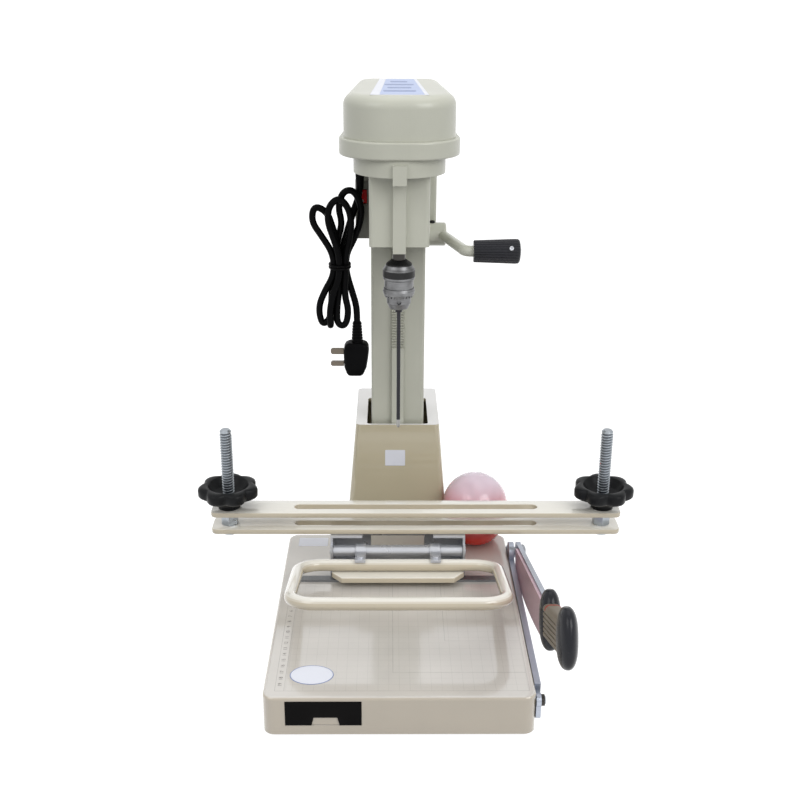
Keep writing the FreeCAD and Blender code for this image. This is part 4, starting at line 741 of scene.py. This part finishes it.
def bed_numbers():
    """The scale's numbers, one for each centimetre from the backstop."""
    texts = []
    for index in range(NUMBER_COUNT):
        curve = bpy.data.curves.new("number", "FONT")
        curve.body = str(index)
        curve.size = NUMBER_SIZE * MM
        curve.align_x, curve.align_y = "CENTER", "CENTER"
        piece = bpy.data.objects.new("number", curve)
        place = mm((PRINT_LEFT + PRINT_COLUMN) / 2, PRINT_REAR + NUMBER_SHIFT - PRINT_PITCH * index,
                   NUMBER_LIFT)
        piece.matrix_world = Matrix.Translation(place) @ Matrix.Rotation(math.radians(90), 4, "Z")
        texts.append(piece)
    form = bmesh.new()
    for piece in texts:
        mesh = bpy.data.meshes.new_from_object(piece)
        mesh.transform(piece.matrix_world)
        form.from_mesh(mesh)
        bpy.data.meshes.remove(mesh)
        bpy.data.curves.remove(piece.data)
    mesh = bpy.data.meshes.new("bed_numbers")
    form.to_mesh(mesh)
    form.free()
    piece = bpy.data.objects.new("bed_numbers", mesh)
    bpy.context.scene.collection.objects.link(piece)
    finish_piece(piece, "ink", "root")


def ellipse_points(x, y, half_x, half_y, count=64):
    turns = [2 * math.pi * step / count for step in range(count)]
    return [(x + half_x * math.cos(turn), y + half_y * math.sin(turn)) for turn in turns]


def labels():
    """Plain adhesive labels on the bed, the head's cover and the housing."""
    def plate(name, outline, z, material, body):
        new_piece(name, lambda form: slab(form, outline, z, z + LABEL_THICK), material, body)
    plate("rear_label", rounded(*REAR_LABEL, 1.2), 0.0, "label_white", "root")
    x, y, half_x, half_y = ROUND_LABEL
    ring = ellipse_points(x, y, half_x + ROUND_LABEL_RING, half_y + ROUND_LABEL_RING)
    plate("round_label_ring", ring, 0.0, "label_blue", "root")
    plate("round_label", ellipse_points(*ROUND_LABEL), LABEL_THICK, "label_white", "root")
    cover_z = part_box("cover_dome")[1].z / MM
    plate("cover_label", COVER_LABEL, cover_z, "label_white", "head")
    plate("cover_label_panel", COVER_PANEL, cover_z + LABEL_THICK, "label_panel", "head")
    for index, half in enumerate(COVER_BAR_HALVES):
        front = COVER_BAR_FRONT + COVER_BAR_PITCH * index
        bar = rounded(-half, half, front, front + COVER_BAR_DEEP, 3.0)
        plate("cover_label_bar", bar, cover_z + 2 * LABEL_THICK, "label_blue", "head")
    lo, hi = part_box("column_housing")

    def tilted(form):
        """Lies on the housing's sloping front."""
        lean = math.atan2(HOUSING_SETBACK, (hi.z - lo.z) / MM)
        turn = Matrix.Rotation(math.pi / 2 - lean, 3, "X")
        half_x, half_y = HOUSING_LABEL_HALF
        outline = rounded(-half_x, half_x, -half_y, half_y, 1.0)
        rings = [[form.verts.new((Vector(HOUSING_LABEL_AT) + turn @ Vector((x, y, lift))) * MM)
                  for x, y in outline] for lift in (-0.1, 0.15)]
        rings_to_faces(form, rings)
    new_piece("housing_label", tilted, "label_white", "root")


# ---------------------------------------------------------------- clamp

def clamp_bars():
    """Flat bars with small round corners, softened edges and a long slot."""
    lo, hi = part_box("clamp_lower_bar")
    x0, x1, half = lo.x / MM - 2.0, hi.x / MM + 2.0, hi.y / MM
    slot_half, slot_r, corner, steps = 134.0, 5.7, 7.0, 8
    middle = (x0 + x1) / 2

    def bar(node, body):
        z0, z1 = (end.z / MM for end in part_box(node))

        def ring(form, z, inset):
            outline = rounded(x0 + inset, x1 - inset, inset - half, half - inset, corner - inset, steps)
            return [form.verts.new(mm(x, y, z)) for x, y in outline]

        def slot(form, z, grow):
            reach, size = slot_half + grow, slot_r + grow
            outline = rounded(middle - reach, middle + reach, -size, size, size, steps)
            return [form.verts.new(mm(x, y, z)) for x, y in outline]

        def make(form):
            rings = [ring(form, z0, 0.9), ring(form, z0 + 0.3, 0.3), ring(form, z0 + 0.9, 0.0),
                     ring(form, z1 - 1.4, 0.0), ring(form, z1 - 0.5, 0.4), ring(form, z1, 1.4),
                     slot(form, z1, 0.6), slot(form, z1 - 0.6, 0.0), slot(form, z0, 0.0)]
            rings_to_faces(form, rings + [rings[0]], closed_ends=False)
        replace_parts(new_piece(node + "_dressed", make, "bar_enamel", body, 28), node)
    bar("clamp_lower_bar", "carriage")
    bar("clamp_upper_bar", "upper_bar")


def rod_places():
    """The rods' X, from the round heads at their lower ends."""
    lo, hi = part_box("clamp_rods")
    return (lo.x / MM + ROD_HEAD_R, hi.x / MM - ROD_HEAD_R)


def rod_threads():
    """Rods on their heads, with a coarse thread: zinc ridges round a core painted darker as the shade in the
    thread's roots.
    """
    lo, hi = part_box("clamp_rods")
    core, crest, pitch, count = 5.6, 6.6, 3.1, 28
    z_head, z_bar, z_top = lo.z / MM, lo.z / MM + ROD_HEAD_H, hi.z / MM

    def ridge(form, x):
        """One helical ridge, of four points in section."""
        rings = []
        section = [(core - 0.3, -1.1), (crest, -0.35), (crest, 0.35), (core - 0.3, 1.1)]
        for step in range(int((z_top - 3.5 - z_bar) / pitch) * count):
            angle = 2 * math.pi * step / count
            rise = z_bar + 1.5 + pitch * step / count
            out_x, out_y = math.cos(angle), math.sin(angle)
            rings.append([form.verts.new(mm(x + reach * out_x, reach * out_y, rise + lift))
                          for reach, lift in section])
        rings_to_faces(form, rings)

    def make(form):
        for x in rod_places():
            lathe(form, [(ROD_HEAD_R - 0.8, z_head), (ROD_HEAD_R, z_head + 0.8), (ROD_HEAD_R, z_bar),
                         (core, z_bar)], (x, 0, 0), count=40)
            lathe(form, [(core, z_top - 3.6), (core + 0.6, z_top - 3.0), (core + 0.6, z_top - 1.8),
                         (core - 1.2, z_top)], (x, 0, 0), count=40)
            ridge(form, x)

    def roots(form):
        for x in rod_places():
            lathe(form, [(core, z_bar), (core, z_top - 3.0)], (x, 0, 0), count=40)
    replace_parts(new_piece("clamp_threads", make, "zinc", "carriage", 30), "clamp_rods")
    # The core between the ridges is painted darker as the shade in the thread's roots.
    new_piece("clamp_rod_roots", roots, "rod_root_shade", "carriage", 30)


def hex_nuts():
    """A hexagon nut with chamfered corners on each rod, between the bars."""
    lo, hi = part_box("clamp_nuts")
    z0, z1 = lo.z / MM, hi.z / MM
    across, chamfer_r, chamfer_h, steps = 9.8, 8.7, 0.8, 36

    def make(form):
        for x in rod_places():
            rings = []
            for z, limit in ((z0, chamfer_r), (z0 + chamfer_h, across), (z1 - chamfer_h, across),
                             (z1, chamfer_r)):
                ring = []
                for step in range(steps):
                    turn = 2 * math.pi * step / steps
                    part = (turn + math.pi / 6) % (math.pi / 3) - math.pi / 6
                    reach = min(across * math.cos(math.pi / 6) / math.cos(part), limit)
                    ring.append(form.verts.new(mm(x + reach * math.cos(turn), reach * math.sin(turn), z)))
                rings.append(ring)
            rings_to_faces(form, rings)
    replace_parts(new_piece("hex_nuts", make, "zinc", "carriage", 25), "clamp_nuts")


def scalloped_knob(node, body):
    """A dished hand knob: round scallops with tight valleys between them, on a conical hub."""
    lobes, points = 7, 16
    lo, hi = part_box(node)
    x, y, foot = (lo.x + hi.x) / 2 / MM, 0.0, lo.z / MM
    profile = [            # rise, middle radius, depth of the scallops
        (0.0, 12.0, 0.0), (3.4, 12.4, 0.0), (4.6, 13.6, 0.1), (10.0, 21.0, 1.0), (12.6, 26.6, 2.2),
        (14.4, 29.2, 2.9), (16.2, 30.4, 3.1), (22.6, 30.6, 3.1), (24.8, 30.0, 3.0), (26.4, 28.4, 2.5),
        (27.0, 26.4, 1.6), (27.0, 24.0, 0.5), (26.4, 22.4, 0.0), (25.0, 21.6, 0.0), (17.6, 17.2, 0.0),
        (16.6, 15.4, 0.0), (16.4, 8.8, 0.0), (16.4, 6.6, 0.0),
    ]

    def make(form):
        rings = []
        for rise, middle, depth in profile:
            ring = []
            for step in range(lobes * points):
                turn = 2 * math.pi * step / (lobes * points)
                swell = 2 * math.sqrt(math.cos(lobes * turn / 2) ** 2 + 0.012) - 1.15
                reach = middle + depth * swell
                ring.append(form.verts.new(mm(x + reach * math.sin(turn), y + reach * math.cos(turn),
                                              foot + rise)))
            rings.append(ring)
        rings_to_faces(form, rings)
    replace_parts(new_piece(node + "_dressed", make, "black_plastic", body, 40), node)


# ---------------------------------------------------------------- press handle and crank grip

def press_loop():
    """The bent tube of the press: a rounded frame in a plane that rises towards the front."""
    lo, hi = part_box("press_handle")
    tube, corner, count, steps = 6.5, 26.0, 20, 14
    half_x = (hi.x - lo.x) / 2 / MM - tube
    rear = Vector((0, hi.y / MM - tube, lo.z / MM + tube))
    front = Vector((0, lo.y / MM + tube, hi.z / MM - tube))
    ahead = front - rear
    length = ahead.length
    ahead.normalize()
    up = Vector((1, 0, 0)).cross(ahead)

    def make(form):
        rings = []
        for x, along in rounded(-half_x, half_x, 0.0, length, corner, steps):
            cx = max(corner - half_x, min(half_x - corner, x))
            cy = max(corner, min(length - corner, along))
            out = (Vector((1, 0, 0)) * (x - cx) + ahead * (along - cy)).normalized()
            centre = rear + Vector((x, 0, 0)) + ahead * along
            turns = [2 * math.pi * part / count for part in range(count)]
            rings.append([form.verts.new((centre + tube * (math.cos(turn) * out + math.sin(turn) * up)) * MM)
                          for turn in turns])
        rings_to_faces(form, rings + [rings[0]], closed_ends=False)
    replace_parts(new_piece("press_loop", make, "bar_enamel", "press", 60), "press_handle")


def ribbed_grip():
    """The crank's rubber grip: fine ribs along it, thicker towards its rounded end."""
    lo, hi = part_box("feed_grip")
    x0, x1 = lo.x / MM, hi.x / MM
    y, z = (lo.y + hi.y) / 2 / MM, (lo.z + hi.z) / 2 / MM
    ribs, points, depth = 26, 6, 0.75
    stations = [(x0, 8.6, 0.0), (x0, 10.0, 0.3), (x0 + 0.8, 10.9, 1.0), (x1 - 5.0, 12.3, 1.0),
                (x1 - 2.2, 12.1, 0.8), (x1 - 0.7, 11.0, 0.3), (x1, 9.0, 0.0)]

    def make(form):
        rings = []
        for x, radius, share in stations:
            ring = []
            for step in range(ribs * points):
                turn = 2 * math.pi * step / (ribs * points)
                reach = radius - depth * share * (1 - abs(math.cos(ribs * turn / 2)))
                ring.append(form.verts.new(mm(x, y + reach * math.cos(turn), z + reach * math.sin(turn))))
            rings.append(ring)
        rings_to_faces(form, rings)
    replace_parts(new_piece("grip_ribbed", make, "black_rubber", "crank", 25), "feed_grip")


# ---------------------------------------------------------------- chip jar

def bell_jar():
    """A thin clear bell, open below: a narrow foot, a wide belly and a domed crown."""
    lo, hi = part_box("chip_jar")
    x, y = (lo.x + hi.x) / 2 / MM + JAR_SHIFT[0], (lo.y + hi.y) / 2 / MM + JAR_SHIFT[1]
    foot, top = lo.z / MM, hi.z / MM + JAR_SHIFT[2]
    belly, belly_z, foot_r, wall = (hi.x - lo.x) / 2 / MM, foot + 45.0, 15.0, 1.6
    turns = [math.pi / 2 * step / 14 for step in range(14)]

    def side(inset):
        below = [(foot_r - inset + (belly - foot_r) * math.sin(turn),
                  foot + (belly_z - foot) * (1 - math.cos(turn))) for turn in turns]
        above = [((belly - inset) * math.cos(turn),
                  belly_z + (top - inset - belly_z) * math.sin(turn)) for turn in turns]
        return below + above + [(0.3, top - inset)]

    def make(form):
        lathe(form, list(reversed(side(0.0))) + side(wall), (x, y, 0), count=72)
    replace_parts(new_piece("bell_jar", make, "red_clear", "root", 60), "chip_jar")


# ---------------------------------------------------------------- small fasteners and marks

def fasteners():
    """Socket screws in the grip, the hub and the ends of the trimmer's two bolts."""
    def screw(name, centre, axis, radius, height, socket, material, body):
        new_piece(name, lambda form: socket_head(form, centre, axis, radius, height, socket, height * 0.7),
                  material, body)

    def middle(node, index):
        lo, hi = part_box(node)
        return (lo[index] + hi[index]) / 2 / MM
    grip_y, grip_z, grip_end = middle("feed_grip", 1), middle("feed_grip", 2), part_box("feed_grip")[1].x / MM
    screw("grip_screw", (grip_end - 0.6, grip_y, grip_z), (1, 0, 0), 4.6, 1.6, 2.0, "chrome", "crank")
    screw("grip_side_screw", (grip_end - 9.5, grip_y - 11.0, grip_z + 5.4), (0, -0.9, 0.44), 2.2, 1.2, 0.9,
          "chrome", "crank")
    hub_y, hub_top = middle("feed_hub", 1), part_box("feed_hub")[1].z / MM
    screw("hub_grub_screw", (36.0, hub_y, hub_top - 1.2), (0, 0, 1), 3.0, 3.2, 1.6, "black_plastic", "crank")
    bolt_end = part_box("cutter_pivot_bolt")[1].x / MM
    screw("pivot_socket", (bolt_end - 0.4, middle("cutter_pivot_bolt", 1), middle("cutter_pivot_bolt", 2)),
          (1, 0, 0), 6.6, 1.4, 3.4, "zinc", "root")
    latch_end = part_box("latch_bolt")[1].x / MM
    screw("latch_socket", (latch_end - 0.3, middle("latch_bolt", 1), middle("latch_bolt", 2)), (1, 0, 0),
          4.2, 1.3, 2.2, "zinc", "root")


def rocker_marks():
    """The plain on and off signs of a rocker switch."""
    def make(form):
        lathe(form, [(1.35, 0.0), (1.35, 0.12), (0.9, 0.12), (0.9, 0.0)], ROCKER_RING_AT,
              axis=(0, -1, 0.24), count=28)
        lathe(form, [(0.28, 0.0), (0.28, 0.12)], ROCKER_LINE_AT, axis=(0, -1, 0.1), count=10)
    new_piece("rocker_signs", make, "mark_white", "rocker")


def handle_line():
    """A thin red line over the top of the trimmer's grip, behind its centre."""
    slope, lean = math.radians(ARM_TILT), math.radians(GRIP_TILT)
    ahead, up = Vector((0, -math.cos(lean), math.sin(lean))), Vector((0, math.sin(lean), math.cos(lean)))
    root = Vector(TRIMMER_PIVOT) + TRIMMER_ARM * Vector((0, -math.cos(slope), math.sin(slope)))
    half_x, half_z, from_end, width, arch = 7.6, 16.0, 36.0, 1.3, 14

    def make(form):
        rings = []
        for x, z in rounded(-half_x, half_x, -half_z, half_z, 5.0)[:arch]:
            ring = []
            for lift, along in ((-0.3, 0.0), (0.35, 0.0), (0.35, width), (-0.3, width)):
                grow = 1 + lift / half_x
                place = root + ahead * (from_end + along) + Vector((x * grow, 0, 0)) + up * (z + lift)
                ring.append(form.verts.new(place * MM))
            rings.append(ring)
        rings_to_faces(form, rings)
    new_piece("grip_line", make, "red_line", "cutter")


# ---------------------------------------------------------------- stage

def bright_rays(tree):
    """1 for rays that the camera, a mirror or a clear body sends out, 0 for light on a surface."""
    path = tree.nodes.new("ShaderNodeLightPath").outputs
    seen = Wire(tree, path["Is Camera Ray"]).math("MAXIMUM", Wire(tree, path["Is Glossy Ray"]))
    return seen.math("MAXIMUM", Wire(tree, path["Is Transmission Ray"]))


def stage():
    """A white floor under the feet, lifted to white where it is seen and not where it lights."""
    mesh = bpy.data.meshes.new("floor")
    corners = [(x * FLOOR_HALF, y * FLOOR_HALF, cad_box[0].z)
               for x, y in ((-1, -1), (1, -1), (1, 1), (-1, 1))]
    mesh.from_pydata(corners, [], [(0, 1, 2, 3)])
    floor = bpy.data.objects.new("floor", mesh)
    bpy.context.scene.collection.objects.link(floor)
    material = bpy.data.materials.new("floor_white")
    material.use_nodes = True
    tree = material.node_tree
    shader = tree.nodes["Principled BSDF"]
    shader.inputs["Base Color"].default_value = (FLOOR_WHITE, FLOOR_WHITE, FLOOR_WHITE, 1)
    shader.inputs["Roughness"].default_value = 0.9
    shader.inputs["Specular IOR Level"].default_value = 0.0
    shader.inputs["Emission Color"].default_value = (1, 1, 1, 1)
    tree.links.new((bright_rays(tree) * FLOOR_LIFT).socket, shader.inputs["Emission Strength"])
    mesh.materials.append(material)


def world():
    """A bright studio: white where it is seen, and darker towards the horizon where it lights."""
    scene_world = bpy.data.worlds.new("studio")
    bpy.context.scene.world = scene_world
    scene_world.use_nodes = True
    tree = scene_world.node_tree
    background = tree.nodes["Background"]
    place = tree.nodes.new("ShaderNodeTexCoord")
    split = tree.nodes.new("ShaderNodeSeparateXYZ")
    tree.links.new(place.outputs["Generated"], split.inputs[0])
    height = Wire(tree, split.outputs[2]).clamped(-0.1, 0.9)
    strength = (height * (WORLD_TOP - WORLD_SIDE) + WORLD_SIDE).math("MAXIMUM", bright_rays(tree))
    tree.links.new(strength.socket, background.inputs["Strength"])
    background.inputs["Color"].default_value = (1.0, 1.0, 1.0, 1)


def lights():
    for name, place, target, size, power in SOFT_BOXES:
        data = bpy.data.lights.new(name, "AREA")
        data.shape, data.size, data.size_y = "RECTANGLE", size[0], size[1]
        data.energy = power
        light = bpy.data.objects.new(name, data)
        light.location = place
        light.rotation_euler = (Vector(target) - Vector(place)).to_track_quat("-Z", "Y").to_euler()
        bpy.context.scene.collection.objects.link(light)


def camera():
    data = bpy.data.cameras.new("camera")
    data.lens, data.sensor_width = CAMERA_LENS, 36.0
    data.clip_start, data.clip_end = 0.05, 300.0
    view = bpy.data.objects.new("camera", data)
    yaw, pitch, roll = (Matrix.Rotation(math.radians(angle), 4, axis) for angle, axis in
                        ((CAMERA_YAW, "Z"), (CAMERA_PITCH, "X"), (CAMERA_ROLL, "Z")))
    view.matrix_world = Matrix.Translation(CAMERA_PLACE) @ yaw @ pitch @ roll
    bpy.context.scene.collection.objects.link(view)
    bpy.context.scene.camera = view


def main():
    scene = bpy.context.scene
    scene.view_settings.view_transform = "Standard"
    scene.view_settings.look = "None"
    dress_frame()
    make_cord()
    bed_numbers()
    labels()
    clamp_bars()
    rod_threads()
    hex_nuts()
    scalloped_knob("knob_left", "left_knob")
    scalloped_knob("knob_right", "right_knob")
    press_loop()
    ribbed_grip()
    bell_jar()
    fasteners()
    rocker_marks()
    handle_line()
    world()
    lights()
    stage()
    camera()


main()
